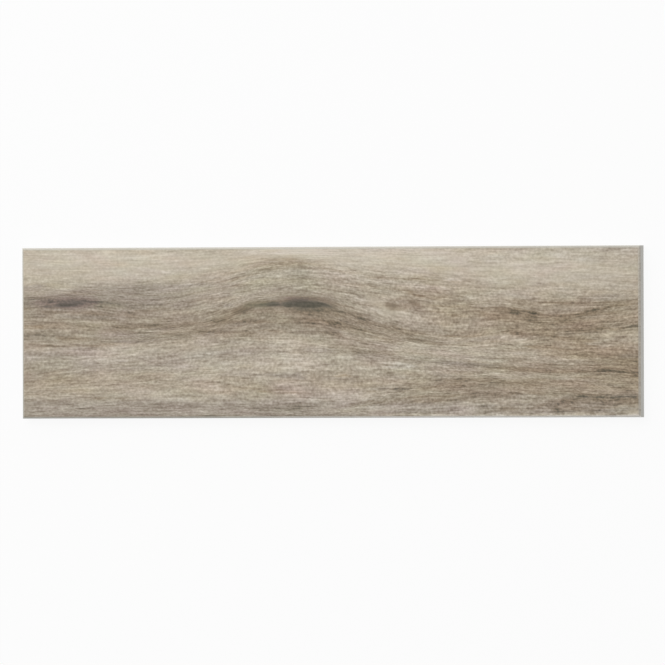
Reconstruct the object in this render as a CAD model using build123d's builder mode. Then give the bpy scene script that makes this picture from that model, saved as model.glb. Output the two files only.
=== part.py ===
"""A plank-shaped porcelain floor tile, pressed and fired in one piece.

The tile lies as it would on a floor: its back on the plane z = 0 and its glazed face up.
X runs along the plank, Y across it, and the origin is the middle of the back.
All sizes are in millimetres.
"""

from build123d import *
import os

# Outline and section of the fired tile
LENGTH = 600.0
WIDTH = 150.0
THICKNESS = 9.0

# Ground edges: a fine arris round the glazed face, and the wider bevel that the press
# leaves round the back
ARRIS = 1.5
BACK_BEVEL = 1.2

# Keyed back: shallow cells for the adhesive, with a grid of ribs standing between them.
# The ribs and the rim are what the tile rests on.
KEY_DEPTH = 0.8
KEY_PITCH_X = 41.5
KEY_PITCH_Y = 33.5
RIB_WIDTH = 3.0
LEAST_RIM = 6.0
CELL_CORNER_RADIUS = 2.5
CELL_DRAFT_DEGREES = 30.0


def paired_cells(span: float, pitch: float) -> int:
    """The most cells that fit across a span in pairs, so that a rib keeps its centre line."""
    room = span - 2 * LEAST_RIM + RIB_WIDTH
    return 2 * int(room / (2 * pitch))


# One cell of the key. It narrows inwards, as the punch that presses it has to come out again
with BuildPart() as key_cell:
    with BuildSketch(Plane.XY):
        RectangleRounded(KEY_PITCH_X - RIB_WIDTH, KEY_PITCH_Y - RIB_WIDTH, CELL_CORNER_RADIUS)
    extrude(amount=KEY_DEPTH, taper=CELL_DRAFT_DEGREES)

# The plank, pressed flat and square
with BuildPart() as tile:
    with BuildSketch(Plane.XY):
        Rectangle(LENGTH, WIDTH)
    extrude(amount=THICKNESS)

    # The arris keeps the glaze from chipping, and the bevel frees the tile from its die
    glazed_face = tile.faces().sort_by(Axis.Z)[-1]
    chamfer(glazed_face.edges(), length=ARRIS)
    back_face = tile.faces().sort_by(Axis.Z)[0]
    chamfer(back_face.edges(), length=BACK_BEVEL)

    columns = paired_cells(LENGTH, KEY_PITCH_X)
    rows = paired_cells(WIDTH, KEY_PITCH_Y)
    with GridLocations(KEY_PITCH_X, KEY_PITCH_Y, columns, rows):
        add(key_cell.part, mode=Mode.SUBTRACT)

tile.part.label = "tile"

os.makedirs("parts", exist_ok=True)
export_step(tile.part, "parts/tile.step")
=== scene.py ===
"""The looks of a plank-shaped porcelain floor tile with a printed, embossed wood grain.

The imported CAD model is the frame. One detailed piece takes the place of its plain solid: the
same pressed slab, with the relief and the print of the grain on its face, its ground arris,
its unglazed sides and the keyed back. Lengths are in metres, in the frame's own axes.
"""

from __future__ import annotations

import logging
import math
from collections.abc import Callable, Sequence
from dataclasses import dataclass, field
from enum import Enum

import bmesh
import bpy
import numpy as np
from mathutils import Matrix, Vector


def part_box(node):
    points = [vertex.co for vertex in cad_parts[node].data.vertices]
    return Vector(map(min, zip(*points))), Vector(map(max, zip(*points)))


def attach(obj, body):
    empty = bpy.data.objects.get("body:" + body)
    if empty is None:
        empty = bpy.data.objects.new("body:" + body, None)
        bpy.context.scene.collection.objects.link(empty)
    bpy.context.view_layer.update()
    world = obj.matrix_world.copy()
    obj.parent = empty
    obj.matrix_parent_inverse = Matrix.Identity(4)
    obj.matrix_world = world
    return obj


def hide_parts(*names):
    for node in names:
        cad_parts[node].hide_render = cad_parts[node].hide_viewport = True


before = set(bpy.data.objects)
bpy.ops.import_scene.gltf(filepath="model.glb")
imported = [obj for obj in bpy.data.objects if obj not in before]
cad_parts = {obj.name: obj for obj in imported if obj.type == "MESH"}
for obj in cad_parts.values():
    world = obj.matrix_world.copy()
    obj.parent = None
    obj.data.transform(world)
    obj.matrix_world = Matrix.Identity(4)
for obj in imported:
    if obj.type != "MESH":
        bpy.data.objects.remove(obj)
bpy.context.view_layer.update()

NODE = "tile"
BODY = "root"
PIECE = "glazed_plank"
MM = 0.001
CLOSE = 1e-6
TOP_LEVEL = 255

LOG = logging.getLogger("plank")

Field = np.ndarray
Colour = tuple[int, int, int]
Socket = bpy.types.NodeSocket


def linear(levels: Colour) -> tuple[float, float, float, float]:
    """A colour for a shader's socket.

    Args:
        levels: red, green and blue as a screen shows them, 0 to 255.

    Returns:
        The same colour in linear light, with full alpha.
    """

    def channel(level: int) -> float:
        """One channel in linear light, by the curve that screens follow."""
        share = level / TOP_LEVEL
        return share / 12.92 if share <= 0.04045 else ((share + 0.055) / 1.055) ** 2.4

    red, green, blue = (channel(level) for level in levels)
    return red, green, blue, 1.0


def eased(share: Field) -> Field:
    """A share held to 0..1, with soft ends."""
    held = np.clip(share, 0.0, 1.0)
    return held * held * (3.0 - 2.0 * held)


# The photograph's frame


@dataclass(frozen=True)
class PhotoFace:
    """Where the glazed face lies in the photograph, in the pixels of its 665 by 665 frame."""

    left: float = 22.2
    right: float = 640.3
    top_at_left: float = 247.2
    top_at_right: float = 245.2
    bottom_at_left: float = 418.9
    bottom_at_right: float = 416.3

    def pixels(self, x: Field, y: Field, low: Vector, high: Vector) -> tuple[Field, Field]:
        """The photograph's pixels that show some places of the face.

        Args:
            x: places along the plank.
            y: places across it.
            low: the plank's lowest corner.
            high: the plank's highest corner.

        Returns:
            Pixels from the frame's left edge, and pixels from its top edge.
        """
        along = (x - low.x) / (high.x - low.x)
        across = (high.y - y) / (high.y - low.y)
        top = self.top_at_left + along * (self.top_at_right - self.top_at_left)
        bottom = self.bottom_at_left + along * (self.bottom_at_right - self.bottom_at_left)
        return self.left + along * (self.right - self.left), top + across * (bottom - top)


def through(points: Sequence[tuple[float, float]], at: Field) -> Field:
    """A smooth line through given points that run from left to right.

    Args:
        points: pairs of a place along the line and its height there, at least two.
        at: the places to read.

    Returns:
        The line's height at each place, level beyond its ends.
    """
    xs, ys = (np.array(values, dtype=float) for values in zip(*points, strict=True))
    slopes = np.gradient(ys, xs)
    place = np.clip(at, xs[0], xs[-1])
    start = np.clip(np.searchsorted(xs, place, side="right") - 1, 0, len(xs) - 2)
    run = xs[start + 1] - xs[start]
    t = (place - xs[start]) / run
    return (
        ys[start] * (1 + 2 * t) * (1 - t) ** 2
        + ys[start + 1] * t * t * (3 - 2 * t)
        + run * slopes[start] * t * (1 - t) ** 2
        + run * slopes[start + 1] * t * t * (t - 1)
    )


# The figure of the grain


class Stain(Enum):
    """The inks of the marks, each with its warmth and with its rosiness."""

    SMOKE = (-1.0, 0.0)
    OLIVE = (0.0, -1.0)
    PLUM = (-0.1, 1.0)
    PLAIN = (0.0, 0.0)
    BROWN = (0.7, 0.0)
    RUST = (1.4, 0.0)

    @property
    def warmth(self) -> float:
        """How warm the ink is, from smoke grey to red brown."""
        return self.value[0]

    @property
    def rosiness(self) -> float:
        """How rosy the ink is, from olive to plum."""
        return self.value[1]


SMOKE, OLIVE, PLUM, PLAIN, BROWN, RUST = Stain


@dataclass(frozen=True)
class Mark:
    """One mark of the printed grain, or of the painted shade and light along the lower rim, drawn from left
    to right.

    Attributes:
        what: what the mark is, in words.
        ink: its hue.
        change: how many of the 255 levels it lifts (or, below 0, lowers) the print.
        path: its line, as photograph pixels across and down with its half-breadth in pixels.
        fade: the share of its length over which each end dies away.
    """

    what: str
    ink: Stain
    change: float
    path: tuple[tuple[float, float, float], ...]
    fade: float = 0.3

    def cover(self, across: Field, down: Field) -> Field:
        """How strongly the mark covers some places.

        Args:
            across: the places' pixels from the frame's left edge.
            down: their pixels from its top edge.

        Returns:
            The mark's strength at each place, 0 to 1.
        """
        line = through([(x, y) for x, y, _ in self.path], across)
        half = through([(x, breadth) for x, _, breadth in self.path], across)
        first, last = self.path[0][0], self.path[-1][0]
        share = (across - first) / (last - first)
        ends = eased(share / self.fade) * eased((1 - share) / self.fade)
        return ends * np.exp(-(((down - line) / half) ** 2))


# Broad changes of tone, which the fibres hardly break up
WASHES: tuple[Mark, ...] = (
    Mark("pale sapwood, left", PLAIN, 26, (
        (-60, 260, 24), (60, 261, 23), (140, 263, 21), (210, 260, 17), (280, 250, 11),
        (380, 248, 8)), 0.25),
    Mark("pale sapwood, middle", PLAIN, 28, (
        (240, 248, 8), (300, 250, 10), (340, 255, 13), (390, 259, 16), (440, 260, 18),
        (490, 262, 18)), 0.25),
    Mark("light sapwood over the pool", PLAIN, 12, ((470, 260, 9), (530, 262, 13), (610, 262, 12))),
    Mark("pale sapwood, right", PLAIN, 20, (
        (400, 262, 16), (480, 268, 22), (560, 270, 24), (720, 270, 24))),
    Mark("bright upper edge", PLAIN, 10, (
        (326, 249, 4), (372, 250, 5), (420, 250.5, 5.6), (480, 251.5, 6.4), (548, 251, 4))),
    Mark("lit wood, left end", PLAIN, 7, ((-20, 280, 4), (30, 280, 4.4), (66, 279, 3))),
    Mark("light wood under the arch's end", PLAIN, 8, (
        (412, 282, 3.4), (436, 284, 4), (452, 291, 3), (464, 292, 2))),
    Mark("light wood before the pool", PLAIN, 9, ((420, 311, 4), (444, 312, 5), (466, 314, 3))),
    Mark("light wood over the pool's rim", PLAIN, 7, ((492, 292, 5), (520, 291, 7), (560, 297, 3))),
    Mark("light wood under the third limb", PLAIN, 12, (
        (384, 345, 4), (416, 349, 6), (442, 353, 5), (462, 355, 3))),
    Mark("light wood, far right", PLAIN, 9, ((600, 316, 4), (632, 314, 5), (700, 312, 5))),
    Mark("light wood, left of the rising line", PLAIN, 9, ((322, 392, 5), (346, 393, 7), (372, 392, 4))),
    Mark("light wood, low left", PLAIN, 10, (
        (86, 392.5, 3), (116, 393, 3.6), (150, 395, 5), (186, 397, 6), (214, 398, 4))),
    Mark("light wood, low right", PLAIN, 8, ((508, 390, 4), (540, 390, 6), (566, 389, 3))),
    Mark("dull wood before the eye", PLAIN, -10, (
        (206, 353, 4), (244, 355, 5.4), (270, 353, 4), (292, 350, 2.4))),
    Mark("brown wood in the pool", BROWN, -9, ((552, 321, 4), (586, 324, 5), (612, 325, 3))),
    Mark("brown wood round the dark line", BROWN, -10, (
        (552, 371, 3), (604, 373.5, 5), (640, 375, 6), (700, 375, 6))),
    Mark("dark wood in the lower right corner", BROWN, -9, (
        (530, 406, 4), (572, 407, 6), (612, 405, 6.4), (640, 402, 6), (700, 400, 6))),
    Mark("smoke under the lower left", SMOKE, -7, (
        (84, 406, 3), (130, 408.6, 4.4), (192, 409, 4.6), (216, 409, 3))),
    Mark("dim upper edge, right", SMOKE, -2, ((560, 246, 4), (620, 247, 6), (740, 248, 8))),
    Mark("shade over the arch", BROWN, -4, ((200, 266, 6), (250, 262, 8), (290, 260, 6), (320, 260, 4))),
    Mark("light wood before the small knots", PLAIN, 18, (
        (358, 299, 4), (376, 303, 8), (394, 311, 5), (410, 315, 3))),
    Mark("light wood under the heartwood", PLAIN, 13, (
        (256, 341, 3), (292, 341.6, 4.4), (318, 342.6, 3.6), (340, 344, 2.6))),
    Mark("light under the arch's right limb", PLAIN, 10, ((296, 272, 4), (340, 272.6, 5), (390, 279, 4))),
    Mark("smoky wood beside the left knot", SMOKE, -13, (
        (-40, 301, 12), (60, 301, 13), (130, 299, 13), (200, 299, 11), (250, 300, 6))),
    Mark("smoky wood over the left band", SMOKE, -8, (
        (84, 291, 5), (120, 289, 7), (150, 287, 7), (190, 285, 4))),
    Mark("heartwood, left", BROWN, -17, (
        (-60, 326, 20), (60, 326, 19), (130, 323, 16), (200, 322, 11), (250, 320, 8))),
    Mark("heartwood, middle", BROWN, -18, (
        (150, 327, 8), (230, 323, 11), (290, 320, 11), (350, 323, 11), (420, 333, 7)), 0.25),
    Mark("wood round the main knot", PLAIN, -6, (
        (200, 286, 12), (270, 284, 14), (330, 288, 10), (400, 292, 8))),
    Mark("brown wood round the small knots", BROWN, -6, (
        (380, 300, 8), (420, 298, 13), (450, 308, 16), (500, 316, 14), (540, 320, 8)), 0.25),
    Mark("brown wood under the limbs", BROWN, -8, (
        (340, 342, 5), (390, 338, 7), (440, 336, 6), (490, 334, 4))),
    Mark("brown wood over the pool", BROWN, -11, (
        (500, 301, 4), (560, 303, 6), (610, 304, 8), (720, 304, 8)), 0.25),
    Mark("brown pool, right", RUST, -20, (
        (470, 312, 5), (520, 319, 11), (560, 323, 13), (610, 321, 12), (720, 320, 12)), 0.2),
    Mark("brown wood, lower right", RUST, -12, (
        (524, 346, 3), (570, 350, 8), (604, 356, 11), (720, 360, 13)), 0.25),
    Mark("brown wood along the long low line", BROWN, -12, (
        (440, 364, 3), (520, 366, 5), (580, 367, 6), (620, 367, 8), (720, 368, 9)), 0.25),
    Mark("dark wood, low at the right", BROWN, -15, (
        (380, 384, 6), (450, 386, 12), (540, 390, 15), (620, 394, 16), (740, 394, 18)), 0.3),
    Mark("smoky lower edge, left", SMOKE, -12, (
        (-40, 410, 8), (80, 410, 7), (180, 409, 7), (280, 408, 8), (360, 410, 6))),
    Mark("smoky lower edge, middle", SMOKE, -11, (
        (210, 409, 5), (270, 407, 6), (320, 406, 6), (360, 407, 4))),
    Mark("pale wood under the main knot", PLAIN, 10, (
        (160, 344, 5), (220, 348, 8), (290, 356, 12), (340, 364, 8), (420, 370, 5))),
    Mark("pale wood under the left band", PLAIN, 12, (
        (66, 354, 5), (96, 356, 9), (130, 351, 8), (168, 347, 5))),
    Mark("pale run through the eye", PLAIN, 8, (
        (176, 366, 4), (210, 366, 5), (280, 367, 5), (350, 366, 5))),
    Mark("pale wood, low middle", PLAIN, 7, ((316, 394, 5), (346, 393, 7), (384, 390, 6), (400, 388, 4))),
    Mark("dull wood, left of the eye", SMOKE, -9, (
        (168, 359, 4), (220, 354, 4), (280, 352, 3.4), (310, 352, 2))),
    Mark("dull wood, lower left", BROWN, -10, (
        (-60, 374, 14), (40, 374, 13), (72, 378, 12), (104, 382, 7))),
    Mark("pale wood, right of the knots", PLAIN, 6, (
        (420, 348, 5), (470, 350, 7), (510, 350, 8), (550, 354, 5))),
    Mark("soft light, lower left", PLAIN, 5, ((160, 376, 12), (220, 378, 16), (300, 384, 10))),
    Mark("dull wood, low left", BROWN, -4, ((70, 372, 8), (120, 374, 10), (190, 376, 6))),
    Mark("brown wood at the pool's foot", BROWN, -13, ((500, 329, 3), (528, 331, 4.4), (552, 333, 3))),
    Mark("dark wood under the fleck", BROWN, -12, ((330, 348, 3), (346, 348.6, 4.6), (364, 350, 3))),
    Mark("pale wood before the patch", PLAIN, 9, ((356, 368, 2.4), (376, 368, 4), (396, 368, 3))),
    Mark("pale wood under the eye", PLAIN, 7, ((280, 369, 3), (306, 369.6, 3.6), (336, 368, 3))),
    Mark("light wood left of the eye", PLAIN, 8, ((190, 344, 5), (208, 352, 10), (226, 356, 6)), 0.4),
    Mark("light wood, low, left of the middle", PLAIN, 7, (
        (190, 402, 6), (208, 404, 7), (226, 404, 5)), 0.4),
    Mark("shade at the arch's end", BROWN, -7, ((424, 268, 6), (442, 273, 8), (456, 278, 5)), 0.4),
    Mark("dark wood at the corner's foot", BROWN, -15, (
        (548, 406, 2.6), (568, 407, 4), (586, 405, 2.6)), 0.35),
    Mark("dark wood in the corner", BROWN, -10, ((588, 398, 3), (604, 398, 4.4), (620, 398, 3)), 0.35),
    Mark("light wood over the streak", PLAIN, 7, ((526, 303, 3), (546, 304, 4.4), (564, 305, 3)), 0.4),
    Mark("light corner", PLAIN, 16, ((612, 413, 4), (638, 411, 6), (700, 410, 8))),
    Mark("light wood beside the small knots", PLAIN, 7, (
        (384, 312, 6), (410, 312, 9), (446, 309, 8), (466, 318, 4)), 0.3),
    Mark("light wood, left end", PLAIN, 14, ((-20, 329, 4), (28, 329, 5), (60, 328, 4))),
    Mark("dark wood, left end", BROWN, -6, ((-20, 346, 4), (34, 346, 5), (76, 346, 3))),
    Mark("pale wood over the crown", PLAIN, 8, (
        (236, 264, 5), (264, 267, 7), (292, 268, 7), (316, 272, 5)), 0.4),
    Mark("light sapwood, left of the middle", PLAIN, 5, ((70, 252, 5), (130, 253, 8), (200, 252, 5))),
    Mark("dark nick before the curl", SMOKE, -13, ((136, 301, 3), (150, 300, 4.6), (164, 302, 2)), 0.4),
    Mark("warm wood under the curl", BROWN, -6, ((160, 312, 3), (186, 312, 4), (206, 312, 3))),
    Mark("pale curls", PLAIN, 8, ((136, 371, 4), (150, 371, 7), (164, 370, 4)), 0.4),
    Mark("pale curls, left", PLAIN, 8, ((92, 362, 4), (112, 361, 6), (130, 362, 4)), 0.4),
    Mark("light wood before the eye", PLAIN, 8, (
        (192, 364, 4), (212, 364, 6), (244, 364, 5), (262, 366, 3)), 0.3),
    Mark("dull wood under the pale run", BROWN, -9, ((352, 379, 2), (366, 382, 4), (382, 382, 3)), 0.4),
    Mark("pale wood on the low line", PLAIN, 8, ((400, 372, 6), (420, 364, 9), (440, 376, 6)), 0.4),
    Mark("light wood before the low band", PLAIN, 7, ((476, 342, 3), (494, 345, 5), (512, 347, 3)), 0.4),
    Mark("dark wood on the rising line", BROWN, -12, ((404, 399, 3), (430, 400, 4), (452, 400, 3))),
    Mark("dark wood under the rising line", BROWN, -13, ((476, 403, 3), (495, 403, 5), (514, 405, 3)), 0.4),
    Mark("dark wood at the corner's edge", BROWN, -10, (
        (552, 408, 3), (568, 408, 4.6), (584, 407, 3)), 0.4),
    Mark("brown wood at the right end", BROWN, -9, (
        (594, 348, 4), (612, 349, 6), (636, 352, 5), (700, 356, 5)), 0.3),
    Mark("light wood in the pool's right", PLAIN, 7, ((598, 318, 4), (614, 319, 5), (640, 319, 4)), 0.4),
    Mark("light wood over the low lines", PLAIN, 6, ((326, 402, 4), (356, 400, 6), (380, 394, 4))),
    Mark("light lower edge, middle", PLAIN, 8, (
        (316, 412, 3), (364, 412, 5), (428, 410, 4), (446, 409, 3))),
    Mark("light upper edge, left", PLAIN, 5, (
        (20, 250, 3), (96, 253, 5), (130, 256, 7), (154, 262, 6), (176, 268, 4))),
    Mark("light upper edge, middle", PLAIN, 6, ((350, 255, 4), (376, 256, 6), (404, 256, 4)), 0.4),
    Mark("light upper edge, right", PLAIN, 10, (
        (530, 248, 4), (600, 249.6, 5), (640, 249, 5), (700, 249, 5))),
    Mark("light wood over the arch's right limb", PLAIN, 5, (
        (330, 266, 3), (348, 267, 4), (366, 268, 3)), 0.4),
    Mark("light wood on the arch's left foot", PLAIN, 6, (
        (190, 280, 4), (208, 280, 6), (228, 279, 4)), 0.4),
    Mark("light wood under the right sapwood", PLAIN, 6, (
        (470, 280, 4), (490, 280, 6), (512, 280, 4)), 0.4),
    Mark("shade behind the main knot", PLAIN, -4, ((336, 303, 3), (350, 304, 5), (362, 304, 3)), 0.4),
    Mark("light wood before the hook", PLAIN, 8, (
        (424, 303, 3), (440, 306, 5), (458, 315, 6), (478, 318, 3)), 0.35),
    Mark("light wood over the pool's middle", PLAIN, 6, ((554, 303, 3), (572, 304, 4), (592, 304, 3)), 0.4),
    Mark("light wood in the heartwood", PLAIN, 6, ((336, 326, 3), (350, 327, 4), (362, 328, 3)), 0.4),
    Mark("dull wood in the pool", BROWN, -6, ((530, 326, 3), (546, 328, 5), (560, 328, 3)), 0.4),
    Mark("light wood on the pool's middle line", PLAIN, 6, (
        (588, 325, 3), (602, 326, 4), (616, 326, 3)), 0.4),
    Mark("light wood under the left band", PLAIN, 6, ((134, 351, 4), (152, 352, 6), (170, 352, 4)), 0.4),
    Mark("dull wood, right of the middle", BROWN, -8, (
        (528, 350, 4), (546, 352, 6), (564, 352, 5), (602, 352, 5), (618, 352, 3)), 0.3),
    Mark("dull wood on the long low line", PLAIN, -7, ((450, 362, 4), (476, 364, 5), (500, 364, 4)), 0.4),
    Mark("light wood on the long low line", PLAIN, 8, ((502, 362, 3), (518, 363, 4), (534, 363, 3)), 0.4),
    Mark("dull wood at the right end", BROWN, -7, ((610, 363, 3), (630, 364, 5), (660, 364, 4)), 0.35),
    Mark("light wood, lower left", PLAIN, 6, ((80, 375, 4), (98, 376, 5), (116, 376, 4)), 0.4),
    Mark("light wood before the dash", PLAIN, 8, ((388, 375, 4), (404, 376, 6), (422, 376, 4)), 0.4),
    Mark("light wood, low, under the curls", PLAIN, 11, ((162, 399, 4), (180, 400, 7), (198, 400, 4)), 0.4),
    Mark("light wood by the rising line", PLAIN, 7, ((506, 399, 4), (530, 400, 5), (558, 399, 4)), 0.4),
    Mark("light lower edge, left of the middle", PLAIN, 6, (
        (190, 411, 4), (208, 412, 5), (228, 411, 4)), 0.4),
    Mark("light wood inside the arch's left limb", PLAIN, 5, (
        (244, 292, 4), (264, 292, 5), (284, 292, 4)), 0.4),
    Mark("dull wood in the left band", BROWN, -6, ((52, 340, 4), (68, 340, 5), (86, 340, 4)), 0.4),
    Mark("light wood under the rust line", PLAIN, 5, ((556, 352, 4), (572, 352, 5), (588, 352, 4)), 0.4),
    Mark("light wood before the corner", PLAIN, 6, ((528, 400, 4), (544, 400, 5), (560, 400, 4)), 0.4),
    Mark("dull lower edge, left of the middle", SMOKE, -7, (
        (276, 412, 3), (292, 413, 5), (308, 412, 3)), 0.4),
    Mark("dull lower edge, right of the middle", BROWN, -8, (
        (500, 412, 3), (516, 413, 5), (534, 412, 3)), 0.4),
)

# Hue alone, where the tone stays as it is
TINGES: tuple[Mark, ...] = (
    Mark("olive wood in the arch", OLIVE, 3, (
        (226, 284, 6), (262, 280, 10), (300, 281, 10), (346, 289, 5))),
    Mark("olive wood under the knot", OLIVE, 0, ((228, 317, 3), (270, 315, 4), (306, 317, 3))),
    Mark("olive wood behind the left knot", OLIVE, 0, ((88, 304, 3), (106, 305, 4), (126, 306, 3))),
    Mark("olive wood in the left band", OLIVE, -3, ((72, 321, 4), (90, 326, 5), (104, 328, 3))),
    Mark("olive wood at the pale pool", OLIVE, 0, ((474, 372, 3), (496, 373, 4), (520, 374, 3))),
    Mark("mauve wood, low", PLUM, 0, ((262, 388, 5), (300, 389, 8), (352, 392, 6), (372, 392, 4)), 0.2),
    Mark("mauve wood in the left band", PLUM, 0, ((90, 334, 4), (126, 336, 6), (152, 336, 3))),
    Mark("mauve wood under the left band", PLUM, 0, ((58, 352, 3), (90, 353, 5), (130, 352, 4))),
    Mark("mauve wood under the arch's end", PLUM, 0, ((396, 284, 3), (420, 286, 5), (444, 290, 3))),
    Mark("warm wood to the right", BROWN, 0, (
        (360, 290, 14), (430, 304, 26), (520, 330, 40), (600, 346, 46), (720, 350, 46)), 0.25),
    Mark("warm run, low", BROWN, 0, (
        (-80, 385, 8), (120, 385, 8), (330, 386, 8), (520, 384, 9), (720, 384, 10)), 0.1),
    Mark("grey wood, lower left", SMOKE, 0, ((-80, 358, 14), (60, 360, 14), (160, 362, 11), (260, 362, 7))),
    Mark("grey lower edge", SMOKE, 0, ((-80, 408, 8), (330, 406, 9), (720, 404, 8)), 0.05),
)

# Knots: smooth and dark, with hardly a fibre across them
KNOTS: tuple[Mark, ...] = (
    Mark("main knot, halo", PLAIN, -34, (
        (250, 303.8, 3), (280, 302.8, 5.6), (304, 302.4, 8.6), (326, 303.5, 6.6), (348, 307, 3.4)), 0.35),
    Mark("main knot, heart", PLAIN, -47, (
        (276, 304, 2), (290, 303.6, 4), (303, 303.2, 5), (316, 304.2, 3.8), (332, 306, 2)), 0.3),
    Mark("main knot, plum shade over it", PLUM, -11, (
        (282, 298.4, 2), (296, 298.4, 2.6), (308, 299, 2.4), (318, 300, 1.6))),
    Mark("main knot, core", PLAIN, -17, (
        (292, 304.8, 1.8), (302, 304.6, 2.8), (312, 304.8, 2.4), (322, 305.4, 1.6)), 0.3),
    Mark("main knot, left limb", OLIVE, -44, (
        (244, 305.4, 2), (254, 304.6, 3.4), (266, 304.2, 3.8), (284, 303.6, 2.8)), 0.2),
    Mark("main knot, plum in the left limb", PLUM, -8, (
        (266, 304.4, 1.8), (276, 304, 2.8), (286, 303.6, 2))),
    Mark("main knot, right limb", PLAIN, -37, (
        (308, 304, 2), (322, 304.6, 2.6), (332, 306, 3), (345, 308.6, 2.4)), 0.3),
    Mark("main knot, olive under it", PLAIN, -16, (
        (282, 309.6, 2), (306, 310.8, 3.4), (336, 311, 2.6), (352, 312, 2))),
    Mark("main knot, olive wisps, upper right", PLAIN, -15, (
        (306, 297, 2), (322, 297.5, 3), (336, 300, 2.4), (352, 302, 2))),
    Mark("main knot, brown under the left limb", BROWN, -9, (
        (238, 312, 2), (266, 311, 2.4), (298, 311, 2))),
    Mark("main knot, brown left end", BROWN, -22, ((234, 312.5, 1.6), (243, 310, 2.6), (253, 306.4, 1.7))),
    Mark("left knot, heart", PLUM, -26, (
        (56, 304, 2), (65, 303.2, 3.4), (73, 302.8, 4.2), (80, 303, 3.2), (87, 303.4, 1.8)), 0.25),
    Mark("left knot, wedge", PLAIN, -27, (
        (40, 306, 1.4), (54, 305.8, 1.7), (68, 305, 2), (82, 304.6, 1.8)), 0.2),
    Mark("left knot, halo", PLUM, -15, (
        (20, 301, 3.4), (40, 301, 4.6), (58, 300.6, 5.4), (74, 300.8, 6.6), (90, 301.2, 4.6),
        (108, 302, 2.6))),
    Mark("left knot, red end", PLUM, -15, ((74, 301, 3), (84, 301, 3.6), (92, 301.4, 3), (104, 302, 1.8))),
    Mark("left knot, long shade behind it", PLAIN, -15, (
        (92, 304, 2), (112, 304.4, 2.8), (132, 306, 4.4), (152, 307, 2.6))),
    Mark("first small knot", BROWN, -50, (
        (385, 304.6, 1.8), (390, 305.2, 3.6), (395, 306.2, 3.6), (401, 307.6, 1.5))),
    Mark("second small knot", BROWN, -37, (
        (408, 300.8, 1.3), (414, 302, 2.4), (418.5, 304.8, 2.8), (424, 307.4, 1.4))),
    Mark("wood between the small knots", BROWN, -11, ((396, 304, 2), (404, 304.6, 3.2), (414, 305.6, 2))),
)
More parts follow.
